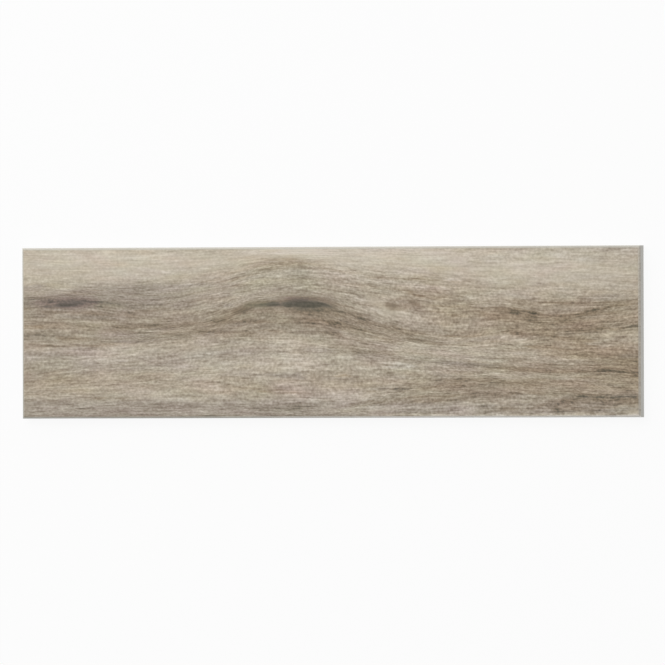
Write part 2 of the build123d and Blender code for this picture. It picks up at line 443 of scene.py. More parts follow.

# The streaks that the growth rings draw, and painted shade and painted light along the lower rim. The
# fibres break all of them up
STREAKS: tuple[Mark, ...] = (
    Mark("dark nick beside the knot", SMOKE, -14, ((138, 290, 1.6), (147, 290, 2.6), (156, 289, 1.6)), 0.4),
    Mark("left knot, shade", SMOKE, -14, (
        (-20, 301, 4), (30, 301, 4.5), (64, 301, 6.5), (96, 301, 6), (128, 302, 3))),
    Mark("left knot, upper wisp", PLAIN, -18, (
        (60, 292.5, 1.6), (78, 291, 2.4), (94, 292, 2.6), (110, 295, 1.8))),
    Mark("left knot, tail", SMOKE, -16, ((88, 302, 2), (112, 302, 2), (134, 306, 1.6), (152, 308, 1.2))),
    Mark("streak over the left knot", BROWN, -16, (
        (-10, 297, 1.4), (24, 297, 1.6), (50, 298, 1.8), (70, 297, 1.4))),
    Mark("dark nick at the left end", RUST, -30, ((-6, 307.6, 2), (22, 307.6, 2.4), (32, 307.6, 1.6))),
    Mark("fine line over it", SMOKE, -14, ((8, 286, 1.4), (26, 287, 1.5), (42, 285, 1.2), (56, 285, 0.9))),
    Mark("left band, first line", BROWN, -14, (
        (30, 312, 1.6), (60, 312, 1.8), (96, 313, 1.4), (120, 316, 1.4))),
    Mark("left band, second line", SMOKE, -14, (
        (52, 316, 1.4), (90, 317, 1.6), (124, 318, 2.2), (140, 320, 1.4))),
    Mark("left band, red line", RUST, -14, ((14, 327, 1.6), (34, 326, 1.8), (50, 327, 1.2))),
    Mark("left band, third line", SMOKE, -24, (
        (-10, 335, 1.8), (24, 335, 2), (48, 335, 1.5), (68, 335.5, 1.2), (80, 333, 1.2))),
    Mark("left band, fourth line", BROWN, -22, (
        (54, 338, 1.3), (74, 338.5, 1.6), (98, 339.5, 1.8), (108, 340, 1))),
    Mark("left band, long lower line", BROWN, -19, (
        (10, 342, 1.8), (50, 345.5, 1.5), (90, 345.5, 1.4), (124, 342.5, 1.2), (160, 340, 1.2))),
    Mark("left band, dark middle", BROWN, -25, (
        (104, 327, 2), (122, 327, 2.8), (142, 325.5, 2.2), (176, 325, 1.6))),
    Mark("left band, shade below", SMOKE, -17, ((96, 336, 2.4), (136, 335, 4), (170, 337, 3))),
    Mark("left band, rising line", BROWN, -20, (
        (146, 337, 1.4), (168, 334.8, 2.4), (184, 334, 2.4), (212, 331.5, 1.8), (232, 329.5, 1.4))),
    Mark("left band, small line", SMOKE, -14, (
        (98, 341, 1), (112, 341, 1.2), (140, 341, 1.6), (160, 339, 1))),
    Mark("smoky ticks over the band", SMOKE, -13, (
        (118, 297, 1.6), (140, 300, 1.8), (150, 305, 2), (164, 302, 1.2))),
    Mark("smoky line under the sapwood", SMOKE, -12, (
        (100, 289, 1.4), (140, 288, 1.8), (184, 285, 1.8), (216, 283, 1.2))),
    Mark("warm line at the band's top", BROWN, -10, ((120, 312, 1.4), (150, 310, 1.4), (178, 306, 1.2))),
    Mark("main knot, shade below", BROWN, -10, (
        (288, 311, 3), (310, 312, 4), (330, 313, 4), (352, 312, 3))),
    Mark("main knot, left tail", BROWN, -22, (
        (210, 314, 1.8), (230, 311, 2.4), (243, 310, 2.6), (258, 306, 1.8))),
    Mark("main knot, low left tail", BROWN, -15, (
        (206, 322, 3), (224, 318, 3.4), (244, 312, 3), (270, 309, 2))),
    Mark("main knot, upper left wisp", SMOKE, -15, ((218, 305, 1.3), (228, 304.5, 1.8), (238, 305, 1.2))),
    Mark("main knot, right limb", BROWN, -27, (
        (326, 310, 2.4), (344, 313, 3.6), (366, 319, 3.6), (388, 325, 2.8), (412, 331.5, 2.6),
        (438, 336, 1.6)), 0.22),
    Mark("second limb", BROWN, -28, (
        (326, 322, 2.4), (346, 323.5, 2.8), (360, 328, 2.2), (376, 332, 2), (392, 335, 1.4)), 0.22),
    Mark("third limb", BROWN, -28, (
        (398, 335, 1.4), (416, 338.5, 1.8), (434, 342, 1.6), (454, 345, 1)), 0.22),
    Mark("dark fleck in the heartwood", BROWN, -34, (
        (326, 331.5, 1.8), (337, 333.5, 3), (346, 335.5, 1.6))),
    Mark("heartwood, dark right half", BROWN, -12, ((294, 321, 4), (320, 321, 5), (350, 326, 5))),
    Mark("heartwood, lower line", BROWN, -15, (
        (176, 333, 1.6), (210, 332, 1.8), (244, 333, 1.8), (262, 334, 1.2))),
    Mark("heartwood, middle line", BROWN, -16, (
        (196, 322, 1.8), (236, 321, 2), (262, 321, 1.6), (290, 324, 1.4))),
    Mark("heartwood, fine line", BROWN, -16, ((258, 330, 1.2), (272, 329.5, 1.5), (290, 331, 1.1))),
    Mark("arch, faint left end", BROWN, -9, ((206, 284, 1), (232, 279, 1.3), (258, 272.5, 1.2))),
    Mark("arch over the main knot", BROWN, -28, (
        (246, 275, 1.1), (264, 269.5, 1.5), (284, 267.3, 1.8), (312, 267.3, 1.5), (340, 270.5, 1.3),
        (368, 275, 1.3), (402, 278.5, 1.1), (446, 280, 1)), 0.14),
    Mark("brown crown over the arch", BROWN, -14, (
        (242, 264.5, 3), (266, 261, 4.4), (288, 259.5, 5), (308, 261.5, 3.6), (328, 265, 2))),
    Mark("light wood on the arch", PLAIN, 11, (
        (290, 271, 4), (318, 268.5, 6), (344, 270, 5), (366, 272, 3))),
    Mark("light wood on the arch's left limb", PLAIN, 9, (
        (206, 280, 4), (246, 278, 7), (278, 279, 7), (306, 278, 4))),
    Mark("second arch, right", BROWN, -16, (
        (346, 283, 1.1), (368, 286, 1.4), (398, 289, 1.3), (414, 292.5, 1.8), (430, 297, 1.8),
        (452, 295.5, 1.6), (476, 297, 1.4)), 0.2),
    Mark("third arch, right", BROWN, -9, (
        (404, 278, 1), (432, 278, 1.8), (450, 281, 1.6), (468, 285, 1.2))),
    Mark("inner arch, right", PLAIN, -12, (
        (298, 284, 1.4), (326, 286, 1.3), (356, 294, 1.3), (378, 299, 1.1))),
    Mark("inner arch, left", PLAIN, -10, (
        (180, 296, 1.6), (214, 289, 1.6), (240, 285, 1.4), (270, 283, 1.2))),
    Mark("olive shade in the arch", PLAIN, -5, ((268, 279, 3), (290, 280, 4), (312, 284, 3))),
    Mark("ring under the small knots", BROWN, -15, (
        (396, 308.5, 1.2), (404, 308.8, 1.6), (416, 307.5, 1.2))),
    Mark("swirl over the small knots", BROWN, -13, (
        (398, 289.5, 1.2), (410, 292, 1.8), (422, 295.5, 1.8), (434, 294.5, 1.3))),
    Mark("ring over the small knots", BROWN, -12, ((386, 302, 1.2), (400, 299, 1.2), (412, 299.5, 1.3))),
    Mark("tail of the small knots", BROWN, -17, (
        (418, 309, 1.5), (436, 310.5, 2), (460, 314, 1.7), (480, 316, 1.3))),
    Mark("short line beside it", BROWN, -12, ((430, 303, 1.2), (452, 306, 1.4), (472, 306, 1.1))),
    Mark("line out of the third limb", BROWN, -12, ((430, 335, 1.2), (468, 336, 1.4), (504, 334, 1.1))),
    Mark("brown pool, upper rim", BROWN, -23, (
        (486, 308, 1.6), (500, 307.5, 2), (514, 310, 2.4), (526, 313, 2.6), (544, 316, 1.6),
        (566, 315.4, 1.3)), 0.2),
    Mark("brown pool, upper rim goes on", BROWN, -19, (
        (548, 315.6, 1.2), (572, 315, 1.6), (588, 312, 2.4), (604, 308, 1.8), (622, 304.5, 1.5),
        (640, 303, 1)), 0.18),
    Mark("streak over the pool", BROWN, -15, (
        (500, 299.5, 1.1), (530, 301, 1.5), (566, 303, 1.5), (600, 303, 1.7), (636, 300.5, 1.5),
        (670, 299, 1.3))),
    Mark("brown pool, start of the rim", BROWN, -14, (
        (484, 307.6, 1.4), (496, 307, 2.4), (510, 308.6, 1.8)), 0.3),
    Mark("brown pool, hook", BROWN, -27, (
        (511, 310.6, 1.6), (522, 313.6, 3.4), (532, 316.6, 3.2), (544, 318.6, 1.6)), 0.25),
    Mark("shade before the hook", BROWN, -11, ((474, 312, 2), (490, 314, 3), (506, 316, 2))),
    Mark("brown pool, rising line", BROWN, -15, ((580, 311, 1.2), (604, 308, 1.5), (624, 304.5, 1.2))),
    Mark("brown pool, second line", BROWN, -18, (
        (520, 319, 1.6), (548, 322, 1.8), (568, 322, 2), (592, 324, 1.4))),
    Mark("brown pool, rising end", BROWN, -17, ((600, 314, 1.2), (626, 312, 1.4), (660, 306, 1.4))),
    Mark("brown pool, middle line", RUST, -22, (
        (560, 328.6, 1.4), (580, 329.5, 1.9), (600, 329, 1.9), (622, 328, 1.3), (644, 325, 1.3)), 0.18),
    Mark("brown pool, lower rim", BROWN, -30, (
        (498, 328, 1.4), (511, 331.5, 2.5), (523, 334, 2.3), (536, 335.2, 2.2), (550, 337, 1.4)), 0.22),
    Mark("brown pool, low middle", RUST, -10, ((540, 334, 4), (566, 338, 5), (590, 344, 5), (606, 350, 4))),
    Mark("dark line at the right end", SMOKE, -14, ((622, 326, 1.2), (636, 326, 1.7), (660, 326, 1.6))),
    Mark("rust line, lower right", RUST, -20, (
        (566, 354, 1.4), (590, 354, 1.7), (606, 355.5, 2.4), (620, 357, 1.4))),
    Mark("rust line, under the pool", RUST, -15, (
        (524, 346, 1.8), (540, 346.5, 2.2), (566, 349, 1.6), (584, 351, 1.2))),
    Mark("grey shade at the right end", SMOKE, -8, ((604, 353, 2), (628, 355, 3), (680, 358, 4))),
    Mark("long low line, first run", PLAIN, -27, (
        (344, 349.5, 1.6), (362, 352.5, 2.8), (378, 353.6, 3), (393, 355, 2), (410, 359.5, 1.4)), 0.25),
    Mark("long low line, upper thread", PLAIN, -15, (
        (342, 357, 1.4), (372, 358, 2), (398, 360, 1.8), (424, 360.5, 1.2))),
    Mark("long low line, second run", SMOKE, -16, (
        (400, 359, 1.4), (420, 361, 1.6), (450, 362.5, 2), (478, 364.5, 2.4), (508, 366.5, 1.8)), 0.2),
    Mark("long low line, third run", BROWN, -20, (
        (474, 366, 1.6), (506, 368, 1.8), (534, 370, 2), (566, 370.5, 1.6), (604, 370.5, 1.5)), 0.2),
    Mark("long low line, dark end", RUST, -44, (
        (590, 369.8, 1.3), (606, 370, 2), (622, 370.8, 2), (640, 372.5, 2.3), (670, 373.5, 2.3)), 0.16),
    Mark("ticks under the pale wood", SMOKE, -22, (
        (254, 376, 1.4), (272, 374, 1.5), (284, 375, 2.4), (300, 376, 2), (312, 379, 1.4)), 0.2),
    Mark("rust tick", RUST, -13, ((330, 376, 1.1), (344, 375.5, 1.4), (358, 374, 1))),
    Mark("low band, upper line", BROWN, -22, (
        (438, 381, 1.8), (462, 380, 3), (492, 380.5, 3.6), (518, 383, 2.6), (552, 386, 1.6)), 0.2),
    Mark("low band, fine line", BROWN, -20, ((432, 385.5, 1), (446, 385, 1.3), (470, 384, 1.2))),
    Mark("short dark dash", SMOKE, -46, ((397, 388.7, 0.9), (405, 388.5, 1.5), (413, 388, 0.9)), 0.3),
    Mark("dashes before it", SMOKE, -22, ((370, 389.5, 1), (382, 388.7, 1.2), (396, 388.3, 1))),
    Mark("dashes after it", BROWN, -15, ((412, 388, 1), (436, 386.5, 1.2), (452, 385, 1))),
    Mark("low lines, middle", BROWN, -17, (
        (222, 386.5, 1.2), (250, 388.5, 1.2), (264, 388, 1.4), (290, 390, 1.1))),
    Mark("long thread under them", BROWN, -13, ((256, 392.6, 1), (284, 392, 1.4), (316, 392, 1.2))),
    Mark("low line under them", BROWN, -16, ((252, 392, 1.2), (268, 391, 1.5), (286, 390.5, 1.1))),
    Mark("dark dot, low", BROWN, -22, ((219, 386, 1), (224, 386, 1.5), (229, 386, 1)), 0.4),
    Mark("rising line, low", BROWN, -21, (
        (326, 408, 1.2), (352, 405, 1.6), (376, 401.5, 1.8), (404, 398.5, 1.8), (436, 397, 1.7),
        (470, 394, 1.7), (508, 393, 1.4), (552, 391.5, 1.2)), 0.14),
    Mark("rising line, dark foot", BROWN, -18, ((362, 405, 1.2), (380, 403, 2), (398, 402, 1.4))),
    Mark("dark patch under the tick", SMOKE, -16, ((432, 407, 1.6), (447, 408.5, 2.8), (460, 408, 1.8))),
    Mark("rising line, lower", BROWN, -19, (
        (376, 405, 1.2), (404, 402, 1.4), (434, 400.5, 1.7), (458, 398.5, 1.4), (488, 397, 1.1))),
    Mark("dark tick in it", SMOKE, -22, ((420, 403.5, 1), (429, 403.5, 1.6), (438, 402.5, 1)), 0.35),
    Mark("lowest rising line", SMOKE, -14, (
        (356, 414, 1.4), (394, 411, 1.4), (440, 410, 1.5), (480, 406.5, 1.3), (540, 403, 1.1))),
    Mark("dark corner, rising edge", BROWN, -25, (
        (520, 409, 1.6), (546, 404, 2.8), (568, 400.5, 2.8), (584, 395.5, 2.2), (604, 394, 1.8)), 0.2),
    Mark("dark corner, upper line", SMOKE, -16, (
        (576, 396, 1.4), (604, 395.5, 1.8), (640, 395, 2.2), (680, 394, 2.2)), 0.15),
    Mark("dark corner, body", BROWN, -13, (
        (556, 402, 3), (596, 399, 4), (640, 400, 4), (680, 400, 4)), 0.2),
    Mark("dark corner, high line", BROWN, -16, ((612, 389, 1.8), (630, 387.5, 2.4), (680, 387, 2.4))),
    Mark("low right, fine line", BROWN, -14, ((500, 392.5, 1), (530, 392.5, 1.3), (552, 392, 1))),
    Mark("lower edge, dark run", SMOKE, -17, (
        (244, 409, 1.8), (268, 408, 2.4), (292, 407.5, 2), (330, 404.5, 2))),
    Mark("lower edge, dark patch", BROWN, -16, ((490, 408, 1.6), (506, 407.5, 2.8), (526, 407, 1.6)), 0.35),
    Mark("lower edge, left run", BROWN, -12, (
        (80, 398, 1.1), (104, 398, 1.5), (130, 398, 1.2), (150, 400, 1))),
    Mark("lower edge, smoky run", SMOKE, -9, ((140, 406, 2), (176, 407, 3), (206, 406, 2))),
    Mark("lower edge, right run", SMOKE, -13, (
        (430, 413, 1.3), (520, 412, 1.6), (600, 410, 1.5), (690, 408, 1.4))),
    Mark("corner ticks, low left", SMOKE, -16, ((16, 404, 1.2), (27, 404, 1.6), (42, 403, 1.1))),
    Mark("pale eye", PLAIN, 15, ((262, 362, 4), (288, 357, 6), (302, 362, 6), (324, 367, 3))),
    Mark("pale line in the eye", PLAIN, 13, (
        (246, 364, 1.3), (268, 365, 1.6), (296, 369, 1.8), (318, 369, 1.3))),
    Mark("pale line, left of the eye", PLAIN, 15, ((220, 362.5, 0.9), (238, 359, 1.1), (258, 357, 0.9))),
    Mark("pale line, right of the eye", PLAIN, 17, ((330, 356, 0.9), (344, 356, 1.3), (360, 357, 0.9))),
    Mark("pale patch, low middle", SMOKE, 15, ((384, 364, 1.6), (402, 366, 3.4), (424, 367, 2))),
    Mark("pale dash in the patch", PLAIN, 20, ((382, 362, 0.8), (395, 362.4, 1.1), (408, 363.4, 0.8))),
    Mark("lower pale dash in it", PLAIN, 20, ((390, 368.2, 0.8), (404, 368.6, 1.2), (420, 369, 0.8))),
    Mark("pale rim under the pool", PLAIN, 32, (
        (498, 334.4, 1), (511, 337, 1.8), (524, 339.4, 2), (542, 342.4, 1.2)), 0.25),
    # Painted shade: darkens the lower rim and the front arris, most towards the left, standing in for the
    # shaded front edge
    Mark("painted shade on the lower rim, left", SMOKE, -24, (
        (-120, 417, 1.9), (60, 416.6, 1.9), (220, 416, 1.8), (330, 415.2, 1.6), (430, 414.6, 1.2)), 0.12),
    # Painted light: lightens the lower rim and the front arris towards the right-hand end
    Mark("painted light on the lower rim, right", SMOKE, 22, (
        (410, 416, 1.2), (500, 415.6, 1.4), (600, 415.1, 1.5), (720, 414.6, 1.6)), 0.12),
    Mark("pale pool, low right", PLAIN, 20, ((480, 372, 1.5), (500, 373.5, 2.8), (524, 374.5, 1.3))),
    Mark("pale fleck, right", PLAIN, 18, ((594, 331.5, 1.4), (610, 332.5, 2.4), (626, 333, 1.4))),
    Mark("pale line, right", PLAIN, 14, ((570, 332.5, 0.8), (582, 332, 1), (594, 332, 0.8))),
    Mark("pale fleck over the third line", PLAIN, 17, ((52, 332.5, 1), (66, 330.5, 1.8), (84, 329, 1))),
    Mark("pale threads, left band", PLAIN, 18, (
        (28, 321, 1), (66, 320.5, 1.1), (90, 323, 1.2), (120, 320, 1))),
    Mark("pale thread, left", PLAIN, 12, ((24, 349, 0.8), (46, 349.5, 1), (64, 349.5, 0.8))),
    Mark("pale thread, lower left", PLAIN, 10, ((40, 388, 0.9), (80, 388.5, 1), (124, 388, 0.9))),
    Mark("pale wood inside the arch", PLAIN, 11, (
        (298, 289, 1.6), (316, 290, 2), (340, 294, 1.6), (356, 298, 1.1))),
    Mark("pale thread on the arch", PLAIN, 11, (
        (232, 284, 0.9), (256, 276, 1.1), (280, 270.5, 1), (300, 270.5, 0.8))),
    Mark("pale thread, first arch", PLAIN, 12, (
        (312, 273, 1), (340, 275.5, 1.3), (372, 280, 1.2), (396, 283, 0.9))),
    Mark("pale wood over the small knots", PLAIN, 11, ((380, 295, 1.8), (396, 296, 3), (412, 297, 1.6))),
    Mark("pale wood under the small knots", PLAIN, 9, ((366, 312, 2.6), (394, 316, 4), (440, 320, 2.4))),
    Mark("pale lower edge, right", SMOKE, 14, ((590, 409, 1), (622, 407.8, 1.4), (690, 406, 1.6))),
    Mark("pale run, low right", PLAIN, 11, ((452, 405, 1), (500, 402, 1.3), (560, 398, 1))),
)


@dataclass(frozen=True)
class GrainLine:
    """One line of growth, drawn over the whole plank as photograph pixels across and down."""

    what: str
    points: tuple[tuple[float, float], ...]

    @property
    def rest(self) -> float:
        """How far down the line would lie in a straight-grained plank."""
        return float(np.mean([down for _, down in self.points]))


GRAIN_LINES: tuple[GrainLine, ...] = (
    GrainLine("upper edge", ((22, 247), (330, 246), (640, 245))),
    GrainLine("arch", (
        (22, 284), (100, 287), (180, 284), (226, 279), (262, 270), (300, 267.5), (342, 270), (384, 275.5),
        (440, 280), (500, 284), (640, 288))),
    GrainLine("over the knots", (
        (22, 301), (64, 298), (104, 301), (150, 305), (190, 302), (230, 295), (270, 291.5), (300, 291),
        (334, 293.5), (364, 298), (400, 303), (460, 308), (510, 309), (545, 313), (600, 311), (640, 306))),
    GrainLine("through the main knot", (
        (22, 318), (64, 319), (100, 322), (140, 326), (180, 325), (206, 321), (228, 314), (252, 306),
        (276, 303), (304, 302.5), (326, 305.5), (346, 312), (366, 319.5), (390, 326.5), (416, 332.5),
        (444, 336), (500, 332), (540, 331), (590, 330), (640, 326))),
    GrainLine("under the heartwood", (
        (22, 344), (60, 346), (100, 346.5), (140, 343.5), (184, 338), (228, 335), (270, 334), (310, 334.5),
        (348, 338), (400, 346), (450, 351), (510, 354), (570, 357), (640, 361))),
    GrainLine("long low line", (
        (22, 374), (70, 369), (120, 367), (170, 365), (220, 361.5), (256, 358), (310, 357), (350, 356),
        (380, 358), (440, 362.5), (500, 367.5), (540, 371), (600, 371), (640, 373))),
    GrainLine("low band", (
        (22, 393), (100, 390), (180, 387), (260, 389), (330, 390), (390, 388.7), (440, 385.5), (490, 382),
        (540, 384.5), (590, 387), (640, 388))),
    GrainLine("rising line", (
        (22, 405), (180, 404.5), (300, 406), (344, 405.5), (376, 401), (420, 398), (480, 394), (540, 395),
        (600, 396), (640, 396))),
    GrainLine("lower edge", ((22, 416), (330, 415), (640, 413.5))),
)


@dataclass(frozen=True)
class Ripple:
    """A patch where the fibres are curly: short slanting ripples across the grain.

    Attributes:
        across: its middle, in pixels from the frame's left edge.
        down: its middle, in pixels from the frame's top edge.
        half_length: how far it reaches along the plank, in pixels.
        half_breadth: how far it reaches across the plank.
        slope: how steeply the ripples rise from left to right.
        levels: how many of the 255 levels they swing the print.
    """

    across: float
    down: float
    half_length: float
    half_breadth: float
    slope: float
    levels: float


RIPPLES: tuple[Ripple, ...] = (
    Ripple(140, 363, 60, 11, 0.32, 11.0),
    Ripple(60, 372, 50, 10, 0.18, 7.0),
    Ripple(210, 290, 46, 14, 0.30, 6.0),
    Ripple(470, 324, 46, 10, -0.30, 6.0),
    Ripple(350, 396, 34, 9, 0.16, 7.0),
)


@dataclass(frozen=True)
class FibreNoise:
    """One kind of unevenness in the figure, in the photograph's pixels.

    Attributes:
        weight: how strong it is.
        length: a cell's length along the fibres.
        breadth: its breadth across them.
        layers: how many layers, each half as large and half as strong as the last.
        shift: how far across the fibres it is read, so that two kinds don't match.
    """

    weight: float
    length: float
    breadth: float
    layers: int = 1
    shift: float = 0.0


class GrainNoise:
    """Smooth gradient noise, stretched along the fibres and the same on every run."""

    CELLS = 256
    SWING = 1.5
    LAYER_SHIFT = (17.3, 5.1)

    def __init__(self, seed: int) -> None:
        """Draws the lattice's gradients.

        Args:
            seed: what tells one pattern from another.
        """
        turn = np.random.default_rng(seed).uniform(0, 2 * math.pi, (self.CELLS, self.CELLS))
        self.lean_x, self.lean_y = np.cos(turn), np.sin(turn)

    def once(self, x: Field, y: Field) -> Field:
        """One layer of noise on a lattice of unit cells.

        Args:
            x: places along the lattice's rows, in cells.
            y: places across them.

        Returns:
            The noise at each place, about -1 to 1.
        """
        column, row = np.floor(x).astype(int), np.floor(y).astype(int)
        in_x, in_y = x - column, y - row
        ease_x, ease_y = eased(in_x), eased(in_y)
        corners = []
        for step_y in (0, 1):
            for step_x in (0, 1):
                at = (row + step_y) % self.CELLS, (column + step_x) % self.CELLS
                corners.append(self.lean_x[at] * (in_x - step_x) + self.lean_y[at] * (in_y - step_y))
        low = corners[0] + ease_x * (corners[1] - corners[0])
        high = corners[2] + ease_x * (corners[3] - corners[2])
        return self.SWING * (low + ease_y * (high - low))

    def __call__(self, along: Field, across: Field, kind: FibreNoise) -> Field:
        """Noise of one kind.

        Args:
            along: places along the fibres, in pixels.
            across: places across them, in pixels.
            kind: the kind, with its cells and its weight.

        Returns:
            The noise at each place, about the kind's weight either way.
        """
        total, whole = np.zeros_like(along), 0.0
        for layer in range(kind.layers):
            grow = 2.0**layer
            x = along / kind.length * grow + self.LAYER_SHIFT[0] * layer
            y = (across + kind.shift) / kind.breadth * grow + self.LAYER_SHIFT[1] * layer
            total += self.once(x, y) / grow
            whole += 1.0 / grow
        return kind.weight * (total / whole)


@dataclass
class Figure:
    """What the grain does at each place of the face.

    Attributes:
        along: places along the fibres, in metres.
        ring: which growth line runs there, in metres across the plank.
        tone: how light the print is, with the painted shade and light of the lower rim, 0 to 1.
        warmth: how brown it is, -1 to 1.5 or so.
        rosy: how rosy it is, from -1 for olive to 1 for plum.
        brush: how lively the fine brushed fibres are, about 0.3 to 1.2.
        sink: how deep the emboss lies, 0 to 1.
    """

    along: Field
    ring: Field
    tone: Field
    warmth: Field
    rosy: Field
    brush: Field
    sink: Field


@dataclass
class Print:
    """What the marks have laid so far at each place.

    Attributes:
        tone: the level, 0 to 255.
        warmth: how brown the print is.
        rosy: how rosy it is.
        calm: how much pale sapwood lies there, where the fibres are faint.
        knotty: how much of a dark knot lies there, where they hardly show.
    """

    tone: Field
    warmth: Field
    rosy: Field
    calm: Field
    knotty: Field

    def lay(self, mark: Mark, cover: Field, warm: float = 1.0, rosy: float = 1.0) -> None:
        """Lays one mark.

        Args:
            mark: the mark.
            cover: how strongly it covers each place.
            warm: how much of its ink's warmth it brings.
            rosy: how much of its ink's rosiness it brings.
        """
        self.tone += mark.change * cover
        self.warmth += warm * mark.ink.warmth * cover
        self.rosy += rosy * mark.ink.rosiness * cover


@dataclass
class GrainFigure:
    """Works out the plank's grain from its listed lines, washes, streaks and knots."""

    face: PhotoFace = field(default_factory=PhotoFace)
    seed: int = 11
    pixel_height: float = 0.9 * MM
    plain_level: float = 163.0
    darkest_level: float = 76.0
    lightest_level: float = 208.0

    # From which change on a wash counts as pale sapwood, and a mark as a dark knot
    sapwood_change: float = 15.0
    knot_change: float = -20.5

    # How far the growth lines and the marks wander from where they are drawn
    wander: float = 0.8
    long_wander: FibreNoise = FibreNoise(1.0, 70.0, 13.0, layers=2)
    short_wander: FibreNoise = FibreNoise(0.5, 24.0, 7.0, shift=60.0)
    long_fray: FibreNoise = FibreNoise(1.1, 24.0, 4.0, layers=2)
    short_fray: FibreNoise = FibreNoise(0.8, 9.0, 1.8)
    end_fray: FibreNoise = FibreNoise(9.0, 26.0, 2.2, shift=90.0)

    # How much hue a wash brings, and how the fibres break a streak up
    wash_warmth: float = 0.8
    wash_rosiness: float = 0.45
    long_break: FibreNoise = FibreNoise(0.7, 22.0, 2.0, layers=2)
    short_break: FibreNoise = FibreNoise(0.6, 9.0, 1.3)
    streak_range: tuple[float, float] = (0.1, 1.9)
    curl: FibreNoise = FibreNoise(1.0, 9.0, 2.6, layers=2)

    # How lively the fibres are: more towards the right, less in sapwood and in knots
    brush_at_left: float = 0.87
    brush_gain: float = 0.29
    sapwood_calm: float = 0.54
    knot_calm: float = 0.6

    # The streaks of growth and the drifts of hue that run all over the plank
    long_growth: FibreNoise = FibreNoise(8.0, 120.0, 5.0, layers=3)
    short_growth: FibreNoise = FibreNoise(9.0, 26.0, 4.2, layers=2, shift=40.0)
    broad_warmth: FibreNoise = FibreNoise(0.6, 90.0, 9.0, layers=2)
    small_warmth: FibreNoise = FibreNoise(0.7, 24.0, 6.0, layers=2, shift=30.0)
    rosiness: FibreNoise = FibreNoise(0.6, 40.0, 12.0, layers=2, shift=150.0)

    # The emboss lies deepest in its grooves and where the print is dark
    groove: FibreNoise = FibreNoise(0.9, 30.0, 2.2, layers=2)
    groove_share: float = 0.55
    dark_share: float = 0.45
    light_margin: float = 10.0
    dark_span: float = 70.0

    def rings(self, across: Field, down: Field) -> Field:
        """The growth line that runs through some places.

        Args:
            across: the places' pixels from the frame's left edge.
            down: their pixels from its top edge.

        Returns:
            How far down that line would lie in a straight-grained plank, in pixels.
        """
        lines = [through(line.points, across) for line in GRAIN_LINES]
        rest = [line.rest for line in GRAIN_LINES]
        ring = np.full_like(down, rest[0]) + np.minimum(down - lines[0], 0.0)
        for upper, lower, rest_upper, rest_lower in zip(lines, lines[1:], rest, rest[1:], strict=False):
            share = np.clip((down - upper) / np.maximum(lower - upper, 1.0), 0.0, 1.0)
            ring += share * (rest_lower - rest_upper)
        return ring + np.maximum(down - lines[-1], 0.0)

    def lay_marks(self, across: Field, down: Field, ring: Field, noises: Sequence[GrainNoise]) -> Print:
        """Lays every mark on the plain print.

        Args:
            across: the places' pixels from the frame's left edge.
            down: their pixels from its top edge.
            ring: the growth line that runs there.
            noises: what frays the marks, and the long and the short fibres that break them up.

        Returns:
            The print with its marks.
        """
        frays, fibres, flecks = noises
        nothing = [np.zeros_like(across) for _ in range(4)]
        laid = Print(np.full_like(across, self.plain_level), *nothing)

        # The marks lie on ground that wanders a little, so that no edge is airbrushed
        frayed_down = down + frays(across, ring, self.long_fray) + frays(across, ring, self.short_fray)
        frayed_across = across + frays(across, ring, self.end_fray)
        for wash in WASHES + TINGES:
            cover = wash.cover(frayed_across, frayed_down)
            laid.lay(wash, cover, self.wash_warmth, self.wash_rosiness)
            laid.calm += cover * (wash.change > self.sapwood_change)
        broken = 1.0 + fibres(across, ring, self.long_break) + flecks(across, ring, self.short_break)
        broken = np.clip(broken, *self.streak_range)
        for streak in STREAKS:
            laid.lay(streak, streak.cover(frayed_across, frayed_down) * broken)
        for knot in KNOTS:
            cover = knot.cover((across + frayed_across) / 2, (down + frayed_down) / 2)
            laid.lay(knot, cover)
            laid.knotty = np.maximum(laid.knotty, cover * (knot.change < self.knot_change))
        for ripple in RIPPLES:
            from_x, from_y = across - ripple.across, down - ripple.down
            patch = np.exp(-((from_x / ripple.half_length) ** 2) - (from_y / ripple.half_breadth) ** 2)
            laid.tone += ripple.levels * patch * flecks(across, down + ripple.slope * from_x, self.curl)
        return laid

    def at(self, x: Field, y: Field, low: Vector, high: Vector) -> Figure:
        """The grain at some places of the face.

        Args:
            x: places along the plank.
            y: places across it.
            low: the plank's lowest corner.
            high: the plank's highest corner.

        Returns:
            The figure at each place.
        """
        across, down = self.face.pixels(x, y, low, high)
        drift, frays, fibres, flecks = (GrainNoise(self.seed + step) for step in range(4))
        ring = self.rings(across, down)
        wandering = drift(across, ring, self.long_wander) + drift(across, ring, self.short_wander)
        ring = ring + self.wander * wandering
        laid = self.lay_marks(across, down, ring, (frays, fibres, flecks))

        # Streaks of growth follow the rings everywhere, livelier towards the right
        brush = self.brush_at_left + self.brush_gain * (x - low.x) / (high.x - low.x)
        brush = brush * (1.0 - self.sapwood_calm * np.clip(laid.calm, 0.0, 1.0))
        brush = brush * (1.0 - self.knot_calm * laid.knotty)
        growth = fibres(across, ring, self.long_growth) + flecks(across, ring, self.short_growth)
        tone = laid.tone + brush * growth
        drifts = drift(across, ring, self.broad_warmth) + drift(across, ring, self.small_warmth)
        warmth = laid.warmth + drifts
        rosy = laid.rosy + drift(across, ring, self.rosiness)
        grooves = np.clip(0.5 + fibres(across, ring, self.groove), 0.0, 1.0)
        dark = np.clip((self.plain_level + self.light_margin - tone) / self.dark_span, 0.0, 1.0)
        sink = self.groove_share * grooves + self.dark_share * dark
        held = np.clip(tone, self.darkest_level, self.lightest_level) / TOP_LEVEL
        return Figure(x, -ring * self.pixel_height, held, warmth, rosy, brush, sink)


# Finishes


@dataclass(frozen=True)
class Ink:
    """A colour of a finish, and the value from 0 to 1 that it stands for.

    Attributes:
        at: the value.
        levels: red, green and blue as a screen shows them, 0 to 255.
    """

    at: float
    levels: Colour


